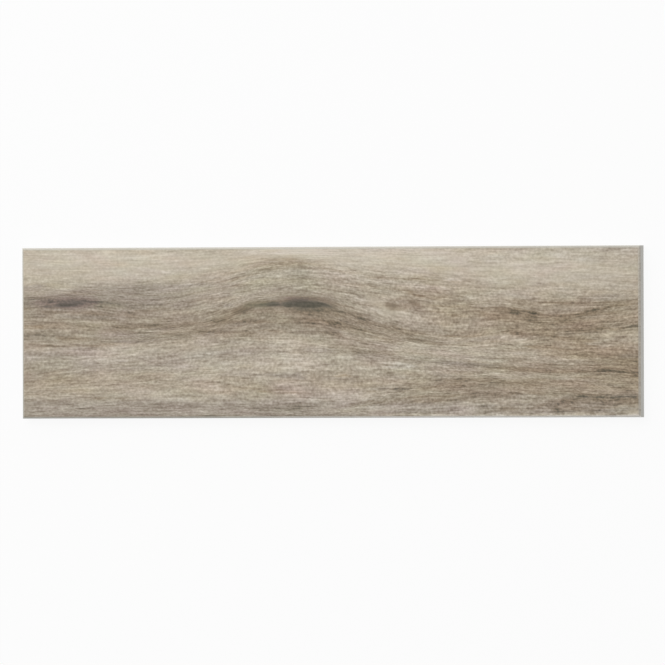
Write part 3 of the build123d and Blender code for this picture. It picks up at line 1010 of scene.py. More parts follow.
@dataclass(frozen=True)
class Grit:
    """One kind of unevenness in a finish.

    Attributes:
        cell: a cell's size along each axis, in metres.
        weight: how much of it is taken.
        layers: how many finer layers lie on it.
        rough: how strong the finer layers are.
        shift: how far the pattern is moved, so that two kinds don't match.
    """

    cell: tuple[float, float, float]
    weight: float = 1.0
    layers: float = 1.0
    rough: float = 0.5
    shift: float = 0.0


class Nodes:
    """A tree of shader nodes, with short calls for those that the finishes and the studio share."""

    def __init__(self, tree: bpy.types.NodeTree) -> None:
        """Takes up a tree.

        Args:
            tree: the node tree of a material or of the world.
        """
        self.tree = tree

    def add(self, kind: str, **settings: object) -> bpy.types.Node:
        """Adds a node.

        Args:
            kind: Blender's name for its kind.
            settings: the node's own settings, by name.

        Returns:
            The new node.
        """
        node = self.tree.nodes.new(kind)
        for name, value in settings.items():
            setattr(node, name, value)
        return node

    def feed(self, socket: Socket, value: object) -> None:
        """Links an output to a socket, or writes a plain value there.

        Args:
            socket: the input.
            value: an output of another node, or what to write.
        """
        if isinstance(value, Socket):
            self.tree.links.new(value, socket)
        else:
            socket.default_value = value

    def math(self, operation: str, first: object, second: object = 0.0, third: object = 0.0) -> Socket:
        """The result of a Math node.

        Args:
            operation: Blender's name for it.
            first: the first socket or number.
            second: the second.
            third: the third, where the operation has one.

        Returns:
            The node's output.
        """
        node = self.add("ShaderNodeMath", operation=operation)
        for socket, value in zip(node.inputs, (first, second, third), strict=True):
            self.feed(socket, value)
        return node.outputs["Value"]

    def held(self, value: Socket) -> Socket:
        """A value held to 0..1."""
        node = self.add("ShaderNodeClamp")
        self.feed(node.inputs["Value"], value)
        return node.outputs["Result"]

    def carried(
        self,
        value: Socket,
        start: tuple[object, object],
        end: tuple[object, object],
        way: str = "LINEAR",
    ) -> Socket:
        """A value carried from one range to another, and held beyond its ends.

        Args:
            value: the value.
            start: where it starts, and what it gives there.
            end: where it ends, and what it gives there.
            way: Blender's name for the way between.

        Returns:
            The result's output.
        """
        node = self.add("ShaderNodeMapRange", interpolation_type=way)
        self.feed(node.inputs["Value"], value)
        for name, (at, gives) in (("Min", start), ("Max", end)):
            self.feed(node.inputs["From " + name], at)
            self.feed(node.inputs["To " + name], gives)
        return node.outputs["Result"]

    def split(self, vector: Socket) -> tuple[Socket, ...]:
        """The three parts of a vector."""
        node = self.add("ShaderNodeSeparateXYZ")
        self.feed(node.inputs["Vector"], vector)
        return node.outputs["X"], node.outputs["Y"], node.outputs["Z"]

    def seen(self) -> Socket:
        """Where the camera, or a mirror or glass in its view, sees a surface: 1, and elsewhere 0."""
        rays = self.add("ShaderNodeLightPath").outputs
        mirrored = self.math("MAXIMUM", rays["Is Camera Ray"], rays["Is Glossy Ray"])
        return self.math("MAXIMUM", mirrored, rays["Is Transmission Ray"])


class Finish(Nodes):
    """A material's node tree, with the calls that only materials need."""

    def __init__(self, name: str) -> None:
        """Starts a material with an empty tree but for its output and its shader.

        Args:
            name: the material's name.
        """
        self.material = bpy.data.materials.new(name)
        self.material.use_nodes = True
        super().__init__(self.material.node_tree)
        self.shader = self.tree.nodes["Principled BSDF"]
        self.output = self.tree.nodes["Material Output"]

    def attribute(self, name: str, output: str = "Fac") -> Socket:
        """One output of the mesh's own attribute of a name."""
        return self.add("ShaderNodeAttribute", attribute_name=name).outputs[output]

    def place(self) -> Socket:
        """The place on the piece, in metres."""
        return self.add("ShaderNodeTexCoord").outputs["Object"]

    def grit(self, where: Socket, kind: Grit) -> Socket:
        """Noise about nought, stretched to cells of a given size.

        Args:
            where: the place that it is read at.
            kind: the noise's kind.

        Returns:
            The noise less its mean, about -0.5 to 0.5, before its weight is put on.
        """
        mapping = self.add("ShaderNodeMapping")
        self.feed(mapping.inputs["Vector"], where)
        mapping.inputs["Scale"].default_value = [1.0 / size for size in kind.cell]
        mapping.inputs["Location"].default_value = (kind.shift, kind.shift, kind.shift)
        noise = self.add("ShaderNodeTexNoise")
        self.feed(noise.inputs["Vector"], mapping.outputs["Vector"])
        noise.inputs["Scale"].default_value = 1.0
        noise.inputs["Detail"].default_value = kind.layers
        noise.inputs["Roughness"].default_value = kind.rough
        return self.math("SUBTRACT", noise.outputs["Fac"], 0.5)

    def ramp(self, value: Socket, inks: Sequence[Ink]) -> Socket:
        """A colour that runs through some inks.

        Args:
            value: what chooses the colour, 0 to 1.
            inks: the inks, in the order of their values.

        Returns:
            The colour's output.
        """
        node = self.add("ShaderNodeValToRGB")
        self.feed(node.inputs["Fac"], value)
        elements = node.color_ramp.elements
        while len(elements) < len(inks):
            elements.new(1.0)
        for element, ink in zip(elements, inks, strict=True):
            element.position = ink.at
            element.color = linear(ink.levels)
        return node.outputs["Color"]

    def mix(self, share: object, first: object, second: object, blend: str = "MIX") -> Socket:
        """Two colours mixed, or blended in another way.

        Args:
            share: how much of the second, 0 to 1.
            first: the first colour.
            second: the second colour.
            blend: Blender's name for the way.

        Returns:
            The mixed colour's output.
        """
        node = self.add("ShaderNodeMix", data_type="RGBA", blend_type=blend)
        self.feed(node.inputs["Factor"], share)
        self.feed(node.inputs[6], first)
        self.feed(node.inputs[7], second)
        return node.outputs[2]

    def bump(self, height: Socket, strength: float, depth: float) -> None:
        """Gives the shader a bump.

        Args:
            height: the height, about 0 to 1.
            strength: how much of it shows.
            depth: how deep a height of 1 is.
        """
        node = self.add("ShaderNodeBump")
        node.inputs["Strength"].default_value = strength
        node.inputs["Distance"].default_value = depth
        self.feed(node.inputs["Height"], height)
        self.feed(self.shader.inputs["Normal"], node.outputs["Normal"])


@dataclass(frozen=True)
class PrintedGlaze:
    """The matt printed glaze: wood inks, broken up by fine brushed fibres."""

    half_length: float
    half_width: float
    name: str = "wood_print_glaze"

    # The inks from dark to light, by the tone that each stands for
    peat: Ink = Ink(0.27, (74, 70, 58))
    smoke: Ink = Ink(0.376, (103, 97, 84))
    umber: Ink = Ink(0.461, (131, 119, 102))
    oak: Ink = Ink(0.544, (152, 140, 124))
    driftwood: Ink = Ink(0.617, (170, 159, 143))
    sand: Ink = Ink(0.685, (187, 177, 160))
    bleached: Ink = Ink(0.747, (202, 193, 177))
    chalk: Ink = Ink(0.81, (217, 209, 194))

    # What tints them, by their warmth and by their rosiness
    cool: Ink = Ink(0.0, (252, 252, 255))
    even: Ink = Ink(0.35, (253, 251, 248))
    warm: Ink = Ink(1.0, (255, 245, 231))
    olive: Ink = Ink(0.0, (247, 254, 245))
    clear: Ink = Ink(0.5, (255, 255, 255))
    plum: Ink = Ink(1.0, (255, 246, 255))
    hue: Grit = Grit((40 * MM, 5 * MM, 1.0), 1.6, layers=2.0, shift=5.3)
    hue_share: float = 0.3
    rosy_share: float = 0.5

    # The brushed fibres, read along the grain and across it
    fibre: Grit = Grit((19 * MM, 2.0 * MM, 1.0), 0.2, layers=2.0, rough=0.55)
    dash: Grit = Grit((2.6 * MM, 1.6 * MM, 1.0), 0.33, shift=3.7)
    thread: Grit = Grit((50 * MM, 1.4 * MM, 1.0), 0.12, shift=9.1)
    flick: Grit = Grit((9 * MM, 1.4 * MM, 1.0), 0.8, layers=0.0, shift=6.4)
    patch: Grit = Grit((40 * MM, 9 * MM, 1.0), 3.0, shift=21.7)
    dark_crease: Grit = Grit((80 * MM, 2.4 * MM, 1.0), -0.078, shift=13.3)
    pale_crease: Grit = Grit((44 * MM, 2.1 * MM, 1.0), 0.074, shift=17.9)
    crease_thinness: float = 13.0
    crease_share: float = 0.35

    # Along the edges the ground body shows through the print, and along the front a painted light lightens
    # the rim towards the right
    rim: Colour = (190, 187, 177)
    painted_light_rim: Colour = (240, 237, 231)
    rim_reach: float = 2.4 * MM
    front_reach: float = 1.7 * MM
    rim_solid: float = 1.2 * MM
    rim_strength: float = 0.85
    end_strength: float = 0.4

    # The surface
    roughness: float = 0.52
    fibre_shine: float = 0.9
    gloss: float = 0.35
    relief_gain: float = 4.0
    relief_strength: float = 0.5
    relief_depth: float = 0.12 * MM

    def creases(self, finish: Finish, grain: Socket, kind: Grit, patch: Socket, side: float) -> Socket:
        """Thin lines that wander along the grain, where a noise passes nought.

        Args:
            finish: the material's tree.
            grain: the place along the grain and across it.
            kind: the noise, whose cells space the lines.
            patch: a broad noise that says where they show.
            side: 1 where it has to be high for that, and -1 where it has to be low.

        Returns:
            How strongly a line runs there, 0 to 1.
        """
        away = finish.math("ABSOLUTE", finish.grit(grain, kind))
        line = finish.math("MAXIMUM", finish.math("MULTIPLY_ADD", away, -self.crease_thinness, 1.0), 0.0)
        shown = finish.held(finish.math("MULTIPLY_ADD", patch, side * self.patch.weight, self.crease_share))
        return finish.math("MULTIPLY", line, shown)

    def fibres(self, finish: Finish, grain: Socket) -> Socket:
        """The fine brushed fibres.

        Args:
            finish: the material's tree.
            grain: the place along the grain and across it.

        Returns:
            How much lighter or darker the fibres make the print.
        """
        fine = finish.math("MULTIPLY", finish.grit(grain, self.fibre), self.fibre.weight)
        for kind in (self.dash, self.thread):
            fine = finish.math("MULTIPLY_ADD", finish.grit(grain, kind), kind.weight, fine)

        # Here and there a crisp dash, and in patches long dark creases or pale ones
        flick = finish.grit(grain, self.flick)
        crisp = finish.math("MULTIPLY", flick, finish.math("ABSOLUTE", flick))
        fine = finish.math("MULTIPLY_ADD", crisp, self.flick.weight, fine)
        patch = finish.grit(grain, self.patch)
        for kind, side in ((self.dark_crease, 1.0), (self.pale_crease, -1.0)):
            lines = self.creases(finish, grain, kind, patch, side)
            fine = finish.math("MULTIPLY_ADD", lines, kind.weight, fine)
        return finish.math("MULTIPLY", fine, finish.attribute("brush"))

    def tinted(self, finish: Finish, grain: Socket, colour: Socket) -> Socket:
        """Turns the ink towards brown or grey by its warmth, and towards plum or olive.

        Args:
            finish: the material's tree.
            grain: the place along the grain and across it.
            colour: the ink's colour.

        Returns:
            The tinted colour.
        """
        hue = finish.grit(grain, self.hue)
        warm = finish.math("MULTIPLY_ADD", hue, self.hue.weight, finish.attribute("warmth"))
        warm = finish.math("MULTIPLY_ADD", warm, self.hue_share, self.even.at)
        rosy = finish.math("MULTIPLY_ADD", finish.attribute("rosy"), self.rosy_share, self.clear.at)
        tint = finish.ramp(warm, (self.cool, self.even, self.warm))
        cast = finish.ramp(rosy, (self.olive, self.clear, self.plum))
        return finish.mix(1.0, finish.mix(1.0, colour, tint, "MULTIPLY"), cast, "MULTIPLY")

    def worn(self, finish: Finish, inside: Socket, reach: float, strength: float) -> Socket:
        """How bare the print is near an edge.

        Args:
            finish: the material's tree.
            inside: how far inside the edge a place lies.
            reach: how far inside it the print is whole.
            strength: how bare the print is at the edge itself.

        Returns:
            The share of the bare body, 0 to 1.
        """
        return finish.carried(inside, (reach, 0.0), (self.rim_solid, strength), "SMOOTHSTEP")

    def with_bare_rim(self, finish: Finish, colour: Socket) -> Socket:
        """Lets the ground body show through the print along the edges, with painted light along the front.

        Args:
            finish: the material's tree.
            colour: the print's colour.

        Returns:
            The colour with the body in it: most at the back and the left end, less at the right end, and
                along the front with painted light that grows towards the right.
        """
        x, y, _ = finish.split(finish.place())
        from_back = finish.math("SUBTRACT", self.half_width, y)
        from_front = finish.math("ADD", self.half_width, y)
        from_left = finish.math("ADD", self.half_length, x)
        from_right = finish.math("SUBTRACT", self.half_length, x)
        nearest = finish.math("MINIMUM", from_back, from_left)
        ground = self.worn(finish, nearest, self.rim_reach, self.rim_strength)
        at_end = self.worn(finish, from_right, self.rim_reach, self.end_strength)
        colour = finish.mix(finish.math("MAXIMUM", ground, at_end), colour, linear(self.rim))
        # Painted light: along the front the rim turns from the body's colour to a lighter one towards the
        # right-hand end
        painted_light_share = finish.carried(x, (-self.half_length / 2, 0.0), (self.half_length / 2, 1.0))
        front = finish.mix(painted_light_share, linear(self.rim), linear(self.painted_light_rim))
        return finish.mix(self.worn(finish, from_front, self.front_reach, self.rim_strength), colour, front)

    def material(self) -> bpy.types.Material:
        """Mixes the glaze.

        Returns:
            The glaze as a material, which reads the attributes of the mesh's grain.
        """
        finish = Finish(self.name)
        grain = finish.attribute("grain", "Vector")
        fine = self.fibres(finish, grain)
        dark = (self.peat, self.smoke, self.umber, self.oak)
        light = (self.driftwood, self.sand, self.bleached, self.chalk)
        colour = finish.ramp(finish.math("ADD", finish.attribute("tone"), fine), dark + light)
        colour = self.with_bare_rim(finish, self.tinted(finish, grain, colour))
        finish.feed(finish.shader.inputs["Base Color"], colour)
        shine = finish.math("MULTIPLY_ADD", fine, -self.fibre_shine, self.roughness)
        finish.feed(finish.shader.inputs["Roughness"], shine)
        finish.shader.inputs["Specular IOR Level"].default_value = self.gloss
        relief = finish.math("MULTIPLY_ADD", fine, self.relief_gain, 0.5)
        finish.bump(relief, self.relief_strength, self.relief_depth)
        return finish.material


@dataclass(frozen=True)
class FiredBody:
    """The bare porcelain of the sides, the arris and the back, with its fine mineral specks."""

    name: str = "fired_porcelain"
    clay: Colour = (190, 188, 181)
    clay_light: Colour = (204, 202, 196)
    cloud: Grit = Grit((30 * MM, 30 * MM, 4 * MM), 1.6, layers=3.0, rough=0.55)

    # Specks of grit, where the finest noise is high
    speck: Colour = (132, 129, 122)
    sand: Grit = Grit((0.7 * MM, 0.7 * MM, 0.7 * MM), 7.0, layers=2.0, rough=0.6, shift=2.9)
    speck_from: float = 0.16
    speck_strength: float = 0.55

    # The wash that keeps the rollers of the kiln clean stays on the ribs of the back
    kiln_wash: Colour = (214, 213, 208)
    wash_reach: float = 0.25 * MM
    smear: Grit = Grit((18 * MM, 60 * MM, 1.0), 2.2, layers=4.0, rough=0.6, shift=7.7)
    wash_share: float = 0.45

    # The surface
    roughness: float = 0.8
    sand_roughness: float = 0.3
    gloss: float = 0.3
    relief_strength: float = 0.4
    relief_depth: float = 0.08 * MM

    def material(self) -> bpy.types.Material:
        """Mixes the fired clay.

        Returns:
            The bare body as a material.
        """
        finish = Finish(self.name)
        place = finish.place()
        cloud = finish.math("MULTIPLY_ADD", finish.grit(place, self.cloud), self.cloud.weight, 0.5)
        body = finish.mix(cloud, linear(self.clay), linear(self.clay_light))
        sand = finish.grit(place, self.sand)
        over = finish.math("SUBTRACT", sand, self.speck_from)
        specks = finish.held(finish.math("MULTIPLY", over, self.sand.weight))
        body = finish.mix(finish.math("MULTIPLY", specks, self.speck_strength), body, linear(self.speck))

        _, _, height = finish.split(place)
        low = finish.carried(height, (self.wash_reach, 0.0), (0.0, 1.0))
        smear = finish.grit(place, self.smear)
        smear = finish.math("MULTIPLY_ADD", smear, self.smear.weight, self.wash_share)
        wash = finish.held(finish.math("MULTIPLY", low, smear))
        body = finish.mix(wash, body, linear(self.kiln_wash))
        finish.feed(finish.shader.inputs["Base Color"], body)
        rough = finish.math("MULTIPLY_ADD", sand, self.sand_roughness, self.roughness)
        finish.feed(finish.shader.inputs["Roughness"], rough)
        finish.shader.inputs["Specular IOR Level"].default_value = self.gloss
        finish.bump(finish.math("ADD", sand, 0.5), self.relief_strength, self.relief_depth)
        return finish.material


# The tile


@dataclass(frozen=True)
class MapShelves:
    """How the tile's sides share one square map, in shares of its height or width.

    Attributes:
        face: where the glazed face starts, above everything else.
        back: where the back starts.
        back_room: how much height the back has.
        ends: where the right and the left end start.
        end_share: how much of the map's width an end has.
        long_sides: where the back and the front long side start.
        side_room: how much height an end or a long side has.
        level_from: from which share of its normal a part belongs to the face or the back.
    """

    face: float = 0.2
    back: float = 0.07
    back_room: float = 0.12
    ends: tuple[float, float] = (0.008, 0.023)
    end_share: float = 0.25
    long_sides: tuple[float, float] = (0.038, 0.053)
    side_room: float = 0.012
    level_from: float = 0.5


@dataclass
class GlazedPlank:
    """The fired tile: one slab, from its embossed face to its keyed back."""

    low: Vector
    high: Vector

    # The round edge of the face, its section in shares inwards and down, and the back's bevel
    arris: float = 1.5 * MM
    arris_line: tuple[tuple[float, float], ...] = ((1.0, 0.0), (0.8, 0.08), (0.08, 0.8), (0.0, 1.0))
    back_bevel: float = 1.2 * MM

    # The cells of the back and the ribs between them: their walls lean out, their corners are round
    key_depth: float = 0.8 * MM
    key_pitch: tuple[float, float] = (41.5 * MM, 33.5 * MM)
    key_cells: tuple[int, int] = (14, 4)
    rib: float = 3.0 * MM
    key_draft: float = math.radians(30.0)
    key_corner: float = 2.5 * MM
    corner_segments: int = 3

    # The mesh of the face, and the grain pressed into it, which dies away towards the arris
    face_cells: tuple[int, int] = (236, 356)
    emboss: float = 0.22 * MM
    emboss_margin: float = 2.5 * MM
    emboss_steps: int = 64

    # What tells the parts apart: angles between them, and how far they face up or down
    flat_to: float = math.radians(1.0)
    sharp_from: float = math.radians(33.0)
    level_from: float = 0.99
    glazed_from: float = 0.1
    shelves: MapShelves = field(default_factory=MapShelves)
    clay: FiredBody = field(default_factory=FiredBody)
    figure: GrainFigure = field(default_factory=GrainFigure)

    @property
    def length(self) -> float:
        """The tile's length."""
        return self.high.x - self.low.x

    @property
    def width(self) -> float:
        """The tile's width."""
        return self.high.y - self.low.y

    @property
    def thickness(self) -> float:
        """The tile's thickness."""
        return self.high.z - self.low.z

    @property
    def centre(self) -> Vector:
        """The middle of the tile."""
        return (self.low + self.high) / 2

    def build(self) -> bpy.types.Object:
        """Models the tile and dresses it.

        Returns:
            The finished piece.
        """
        piece = self.start_face()
        self.draw_down_rim()
        self.press_key()
        bpy.ops.object.mode_set(mode="OBJECT")
        self.dress(piece)
        self.press_grain(piece)
        self.lay_maps(piece)
        bpy.ops.object.shade_smooth_by_angle(angle=self.sharp_from)
        return piece

    def start_face(self) -> bpy.types.Object:
        """Adds the flat glazed face as a fine grid, and leaves it in edit mode.

        Returns:
            The new piece.
        """
        bpy.ops.object.select_all(action="DESELECT")
        cells_x, cells_y = self.face_cells
        bpy.ops.mesh.primitive_grid_add(x_subdivisions=cells_x, y_subdivisions=cells_y, size=1.0)
        piece = bpy.context.object
        piece.name = PIECE
        piece.data.name = PIECE
        bpy.ops.object.mode_set(mode="EDIT")
        bpy.ops.mesh.select_all(action="SELECT")
        flat = (self.length - 2 * self.arris, self.width - 2 * self.arris, 1.0)
        bpy.ops.transform.resize(value=flat, center_override=(0.0, 0.0, 0.0))
        bpy.ops.transform.translate(value=(self.centre.x, self.centre.y, self.high.z))
        return piece

    def select_rim(self) -> None:
        """Selects the edges that still bound the open mesh, and nothing else."""
        bpy.ops.mesh.select_all(action="DESELECT")
        bpy.ops.mesh.select_mode(type="EDGE")
        mesh = bmesh.from_edit_mesh(bpy.context.object.data)
        for edge in mesh.edges:
            edge.select_set(edge.is_boundary)
        bmesh.update_edit_mesh(bpy.context.object.data)

    def extend_rim(self, inset_from: float, inset_to: float, drop: float) -> None:
        """Extrudes the rim to another rectangle lower down.

        Args:
            inset_from: how far the rim lies inside the tile's outline now.
            inset_to: how far inside it the new rim lies.
            drop: how far down the new rim lies from this one.
        """
        self.select_rim()
        bpy.ops.mesh.extrude_edges_move()
        grow_x = (self.length - 2 * inset_to) / (self.length - 2 * inset_from)
        grow_y = (self.width - 2 * inset_to) / (self.width - 2 * inset_from)
        bpy.ops.transform.resize(value=(grow_x, grow_y, 1.0), center_override=self.centre)
        bpy.ops.transform.translate(value=(0.0, 0.0, -drop))

    def draw_down_rim(self) -> None:
        """Shapes the arris, draws the sides down and closes the back with one face."""
        line = [(self.arris * inset, self.arris * drop) for inset, drop in self.arris_line]
        for (inset_from, drop_from), (inset_to, drop_to) in zip(line, line[1:], strict=False):
            self.extend_rim(inset_from, inset_to, drop_to - drop_from)
        self.extend_rim(0.0, 0.0, self.thickness - self.arris - self.back_bevel)
        self.extend_rim(0.0, self.back_bevel, self.back_bevel)

        # Below the face, each flat strip needs only its corners
        mesh = bmesh.from_edit_mesh(bpy.context.object.data)
        bpy.ops.mesh.select_mode(type="FACE")
        bpy.ops.mesh.select_all(action="DESELECT")
        for strip in mesh.faces:
            strip.select_set(strip.calc_center_median().z < self.high.z - CLOSE)
        bmesh.update_edit_mesh(bpy.context.object.data)
        bpy.ops.mesh.dissolve_limited(angle_limit=self.flat_to)
        self.select_rim()
        bpy.ops.mesh.edge_face_add()

    def select_back(self, keep: Callable[[bmesh.types.BMFace], bool]) -> int:
        """Selects the level faces of the back that a test keeps.

        Args:
            keep: the test.

        Returns:
            How many were selected.
        """
        bpy.ops.mesh.select_mode(type="FACE")
        bpy.ops.mesh.select_all(action="DESELECT")
        mesh = bmesh.from_edit_mesh(bpy.context.object.data)
        count = 0
        for back in mesh.faces:
            lowest = back.calc_center_median().z < self.low.z + CLOSE and back.normal.z < -self.level_from
            chosen = lowest and keep(back)
            back.select_set(chosen)
            count += chosen
        bmesh.update_edit_mesh(bpy.context.object.data)
        return count

    def press_key(self) -> None:
        """Cuts the back into the cells of the key and presses each one in."""
        centre = self.centre
        for axis, (cells, pitch) in enumerate(zip(self.key_cells, self.key_pitch, strict=True)):
            for line in range(cells + 1):
                self.select_back(lambda back: True)
                place = Vector(centre)
                place[axis] += (line - cells / 2) * pitch
                across = Vector((0.0, 0.0, 0.0))
                across[axis] = 1.0
                bpy.ops.mesh.bisect(plane_co=place, plane_no=across)
        reach = [cells * pitch / 2 for cells, pitch in zip(self.key_cells, self.key_pitch, strict=True)]

        def in_key(back: bmesh.types.BMFace) -> bool:
            """Whether a face of the back is one of the key's cells."""
            middle = back.calc_center_median() - centre
            return abs(middle.x) < reach[0] and abs(middle.y) < reach[1]

        found = self.select_back(in_key)
        LOG.info("the key has %d cells", found)
        bpy.ops.mesh.inset(thickness=self.rib / 2, depth=0.0, use_individual=True)
        lean = self.key_depth * math.tan(self.key_draft)
        bpy.ops.mesh.inset(thickness=lean, depth=-self.key_depth, use_individual=True)
        self.round_cells()

    def round_cells(self) -> None:
        """Rounds the upright corners of each cell, like the punch."""
        bpy.ops.mesh.select_mode(type="EDGE")
        bpy.ops.mesh.select_all(action="DESELECT")
        mesh = bmesh.from_edit_mesh(bpy.context.object.data)
        for edge in mesh.edges:
            lower, upper = sorted(end.co.z for end in edge.verts)
            upright = abs(upper - lower - self.key_depth) < CLOSE
            edge.select_set(lower < self.low.z + CLOSE and upright)
        bmesh.update_edit_mesh(bpy.context.object.data)
        bpy.ops.mesh.bevel(offset=self.key_corner, segments=self.corner_segments, affect="EDGES")

    def dress(self, piece: bpy.types.Object) -> None:
        """Gives the face and its arris the glaze and everything else the bare body.

        Args:
            piece: the tile.
        """
        glaze = PrintedGlaze(self.length / 2, self.width / 2)
        piece.data.materials.clear()
        piece.data.materials.append(glaze.material())
        piece.data.materials.append(self.clay.material())
        for part in piece.data.polygons:
            part.material_index = 0 if part.normal.z > self.glazed_from else 1

    def press_grain(self, piece: bpy.types.Object) -> None:
        """Writes the grain on the face's vertices and embosses it.

        Args:
            piece: the tile.
        """
        mesh = piece.data
        places = np.empty(len(mesh.vertices) * 3)
        mesh.vertices.foreach_get("co", places)
        x, y, z = places.reshape(-1, 3).T
        figure = self.figure.at(x, y, self.low, self.high)
        grain = mesh.attributes.new("grain", "FLOAT_VECTOR", "POINT")
        grain.data.foreach_set("vector", np.stack([figure.along, figure.ring, 0 * x], axis=1).ravel())
        values = {"tone": figure.tone, "warmth": figure.warmth, "rosy": figure.rosy, "brush": figure.brush}
        for name, value in values.items():
            mesh.attributes.new(name, "FLOAT", "POINT").data.foreach_set("value", value)

        # The emboss dies away before it reaches the arris
        from_end = np.minimum(x - self.low.x, self.high.x - x)
        from_side = np.minimum(y - self.low.y, self.high.y - y)
        inside = eased((np.minimum(from_end, from_side) - self.arris) / self.emboss_margin)
        depth = figure.sink * inside * (z > self.high.z - CLOSE)
        group = piece.vertex_groups.new(name="emboss")
        share = np.round(depth * self.emboss_steps).astype(int)
        for step in range(1, self.emboss_steps + 1):
            group.add(np.flatnonzero(share == step).tolist(), step / self.emboss_steps, "REPLACE")
        bpy.ops.object.modifier_add(type="DISPLACE")
        press = piece.modifiers[-1]
        press.direction = "Z"
        press.mid_level = 0.0
        press.strength = -self.emboss
        press.vertex_group = group.name
        bpy.ops.object.modifier_apply(modifier=press.name)
        piece.vertex_groups.clear()

    def lay_maps(self, piece: bpy.types.Object) -> None:
        """Lays the faces out on one square map, most of it for the glazed face.

        Args:
            piece: the tile.
        """
        mesh = piece.data
        while mesh.uv_layers:
            mesh.uv_layers.remove(mesh.uv_layers[0])
        layer = mesh.uv_layers.new(name="OFBake")
        corners = np.empty(len(mesh.loops), dtype=int)
        mesh.loops.foreach_get("vertex_index", corners)
        places = np.empty(len(mesh.vertices) * 3)
        mesh.vertices.foreach_get("co", places)
        normals = np.empty(len(mesh.polygons) * 3)
        mesh.polygons.foreach_get("normal", normals)
        sizes = np.empty(len(mesh.polygons), dtype=int)
        mesh.polygons.foreach_get("loop_total", sizes)

        # Where each corner lies in the tile's box, and which side of the tile it belongs to
        box = np.array([self.length, self.width, self.thickness])
        u, v, rise = ((places.reshape(-1, 3)[corners] - np.array(self.low)) / box).T
        nx, ny, nz = np.repeat(normals.reshape(-1, 3), sizes, axis=0).T
        shelves = self.shelves
        upward, backward = nz > shelves.level_from, nz < -shelves.level_from
        endward = ~upward & ~backward & (np.abs(nx) > np.abs(ny))
        sideward = ~upward & ~backward & ~endward
        map_u = np.where(endward, v * shelves.end_share, u)
        map_v = np.select(
            [upward, backward, endward, sideward],
            [
                shelves.face + v * (1 - shelves.face),
                shelves.back + v * shelves.back_room,
                np.where(nx > 0, *shelves.ends) + rise * shelves.side_room,
                np.where(ny > 0, *shelves.long_sides) + rise * shelves.side_room,
            ],
        )
        layer.data.foreach_set("uv", np.stack([map_u, map_v], axis=1).ravel())


# The studio


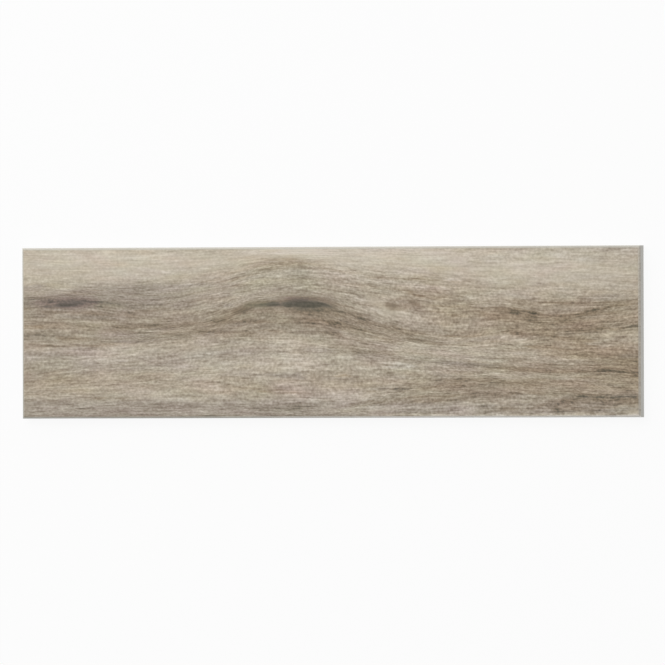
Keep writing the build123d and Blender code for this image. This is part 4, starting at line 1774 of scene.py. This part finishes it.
@dataclass
class Studio:
    """A pale floor, even soft light and the camera where the photograph was taken from."""

    low: Vector
    high: Vector
    white: float = 0.99

    # The floor lies a little under the tile, so that light reaches the feet of its sides
    floor_size: float = 14.0
    floor_gap: float = 0.3 * MM
    floor_grey: float = 0.9
    shadow_share: float = 0.08

    # The world's light from above, most of it from behind, and from below as off a white floor
    sky: float = 0.55
    sky_from_behind: float = 0.85
    floor_light: float = 0.9
    horizon: float = 0.01
    lamp_power: float = 48.5
    lamp_size: float = 2.4
    lamp_place: Vector = field(default_factory=lambda: Vector((-1.2, 1.6, 2.2)))

    # The camera: a long lens for the flat view, the sine of its lean, and the face's middle pixel
    lens: float = 1650.0
    sensor: float = 36.0
    sight: float = 3.0
    photo_pixels: int = 665
    pixels_per_metre: float = 1140.6
    lean_to_right: float = 0.4293
    roll: float = math.radians(-0.2)
    middle: tuple[float, float] = (329.5, 332.35)

    def build(self) -> None:
        """Sets up the floor, the world, the lamp and the camera."""
        self.lay_floor()
        self.light_world()
        self.hang_lamp()
        self.place_camera()
        bpy.context.scene.view_settings.view_transform = "Standard"

    def lay_floor(self) -> None:
        """Lays a white floor that keeps a faint shadow of the tile."""
        bpy.ops.object.select_all(action="DESELECT")
        bpy.ops.mesh.primitive_plane_add(size=self.floor_size, location=(0.0, 0.0, -self.floor_gap))
        floor = bpy.context.object
        floor.name = "studio_floor"
        sheet = Finish("studio_white")
        sheet.tree.nodes.remove(sheet.shader)
        matt = sheet.add("ShaderNodeBsdfDiffuse")
        matt.inputs["Color"].default_value = (self.floor_grey, self.floor_grey, self.floor_grey, 1.0)
        glow = sheet.add("ShaderNodeEmission")
        glow.inputs["Color"].default_value = (self.white, self.white, self.white, 1.0)
        seen = sheet.seen()
        blend = sheet.add("ShaderNodeMixShader")
        sheet.feed(blend.inputs["Fac"], sheet.math("MULTIPLY", seen, 1.0 - self.shadow_share))
        sheet.feed(blend.inputs[1], matt.outputs["BSDF"])
        sheet.feed(blend.inputs[2], glow.outputs["Emission"])

        # From below, the floor lets the tile's back be seen, and the world lights it
        above = sheet.math("SUBTRACT", 1.0, sheet.add("ShaderNodeNewGeometry").outputs["Backfacing"])
        clear = sheet.add("ShaderNodeBsdfTransparent")
        sides = sheet.add("ShaderNodeMixShader")
        sheet.feed(sides.inputs["Fac"], sheet.math("MULTIPLY", seen, above))
        sheet.feed(sides.inputs[1], clear.outputs["BSDF"])
        sheet.feed(sides.inputs[2], blend.outputs["Shader"])
        sheet.feed(sheet.output.inputs["Surface"], sides.outputs["Shader"])
        floor.data.materials.append(sheet.material)

    def light_world(self) -> None:
        """Lights everything softly, more from behind, and from below as a white floor would."""
        world = bpy.data.worlds.new("studio_sky")
        bpy.context.scene.world = world
        world.use_nodes = True
        nodes = Nodes(world.node_tree)
        sky = nodes.tree.nodes["Background"]
        sky.inputs["Color"].default_value = (1.0, 1.0, 1.0, 1.0)
        _, behind, above = nodes.split(nodes.add("ShaderNodeTexCoord").outputs["Generated"])
        front_light = self.sky * (1.0 - self.sky_from_behind)
        back_light = self.sky * (1.0 + self.sky_from_behind)
        soft = nodes.carried(behind, (-1.0, front_light), (1.0, back_light))
        whole = nodes.carried(above, (-self.horizon, self.floor_light), (self.horizon, soft))
        level = nodes.carried(nodes.seen(), (0.0, whole), (1.0, self.white))
        nodes.feed(sky.inputs["Strength"], level)

    def hang_lamp(self) -> None:
        """Hangs one large soft lamp behind and to the left, which gives the emboss its form."""
        centre = (self.low + self.high) / 2
        bpy.ops.object.light_add(type="AREA", location=self.lamp_place)
        lamp = bpy.context.object
        lamp.name = "soft_lamp"
        lamp.data.size = self.lamp_size
        lamp.data.energy = self.lamp_power
        lamp.rotation_euler = (centre - self.lamp_place).to_track_quat("-Z", "Y").to_euler()

    def place_camera(self) -> None:
        """Looks down on the tile, a little from its right-hand end, through a long lens."""
        back = Vector((self.lean_to_right, 0.0, math.sqrt(1 - self.lean_to_right**2)))
        up = Vector((0.0, 1.0, 0.0))
        right = up.cross(back)
        turned_right = right * math.cos(self.roll) + up * math.sin(self.roll)
        turned_up = up * math.cos(self.roll) - right * math.sin(self.roll)
        face = Vector(((self.low.x + self.high.x) / 2, (self.low.y + self.high.y) / 2, self.high.z))
        off_right, off_down = ((at - self.photo_pixels / 2) / self.pixels_per_metre for at in self.middle)
        target = face - turned_right * off_right + turned_up * off_down
        distance = self.photo_pixels / self.pixels_per_metre * self.lens / self.sensor
        bpy.ops.object.camera_add(location=target + back * distance)
        camera = bpy.context.object
        camera.name = "photo_camera"
        camera.data.type = "PERSP"
        camera.data.sensor_width = self.sensor
        camera.data.lens = self.lens
        camera.data.clip_end = self.sight * distance
        camera.rotation_euler = Matrix((turned_right, turned_up, back)).transposed().to_euler()
        bpy.context.scene.camera = camera


def main() -> None:
    """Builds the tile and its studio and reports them."""
    logging.basicConfig(level=logging.INFO, format="%(name)s: %(message)s")
    low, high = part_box(NODE)
    piece = GlazedPlank(low, high).build()
    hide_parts(NODE)
    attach(piece, BODY)
    piece.data.calc_loop_triangles()
    LOG.info("%s has %d triangles", piece.name, len(piece.data.loop_triangles))
    Studio(low, high).build()
    LOG.info("the studio is lit")


if __name__ == "__main__":
    main()
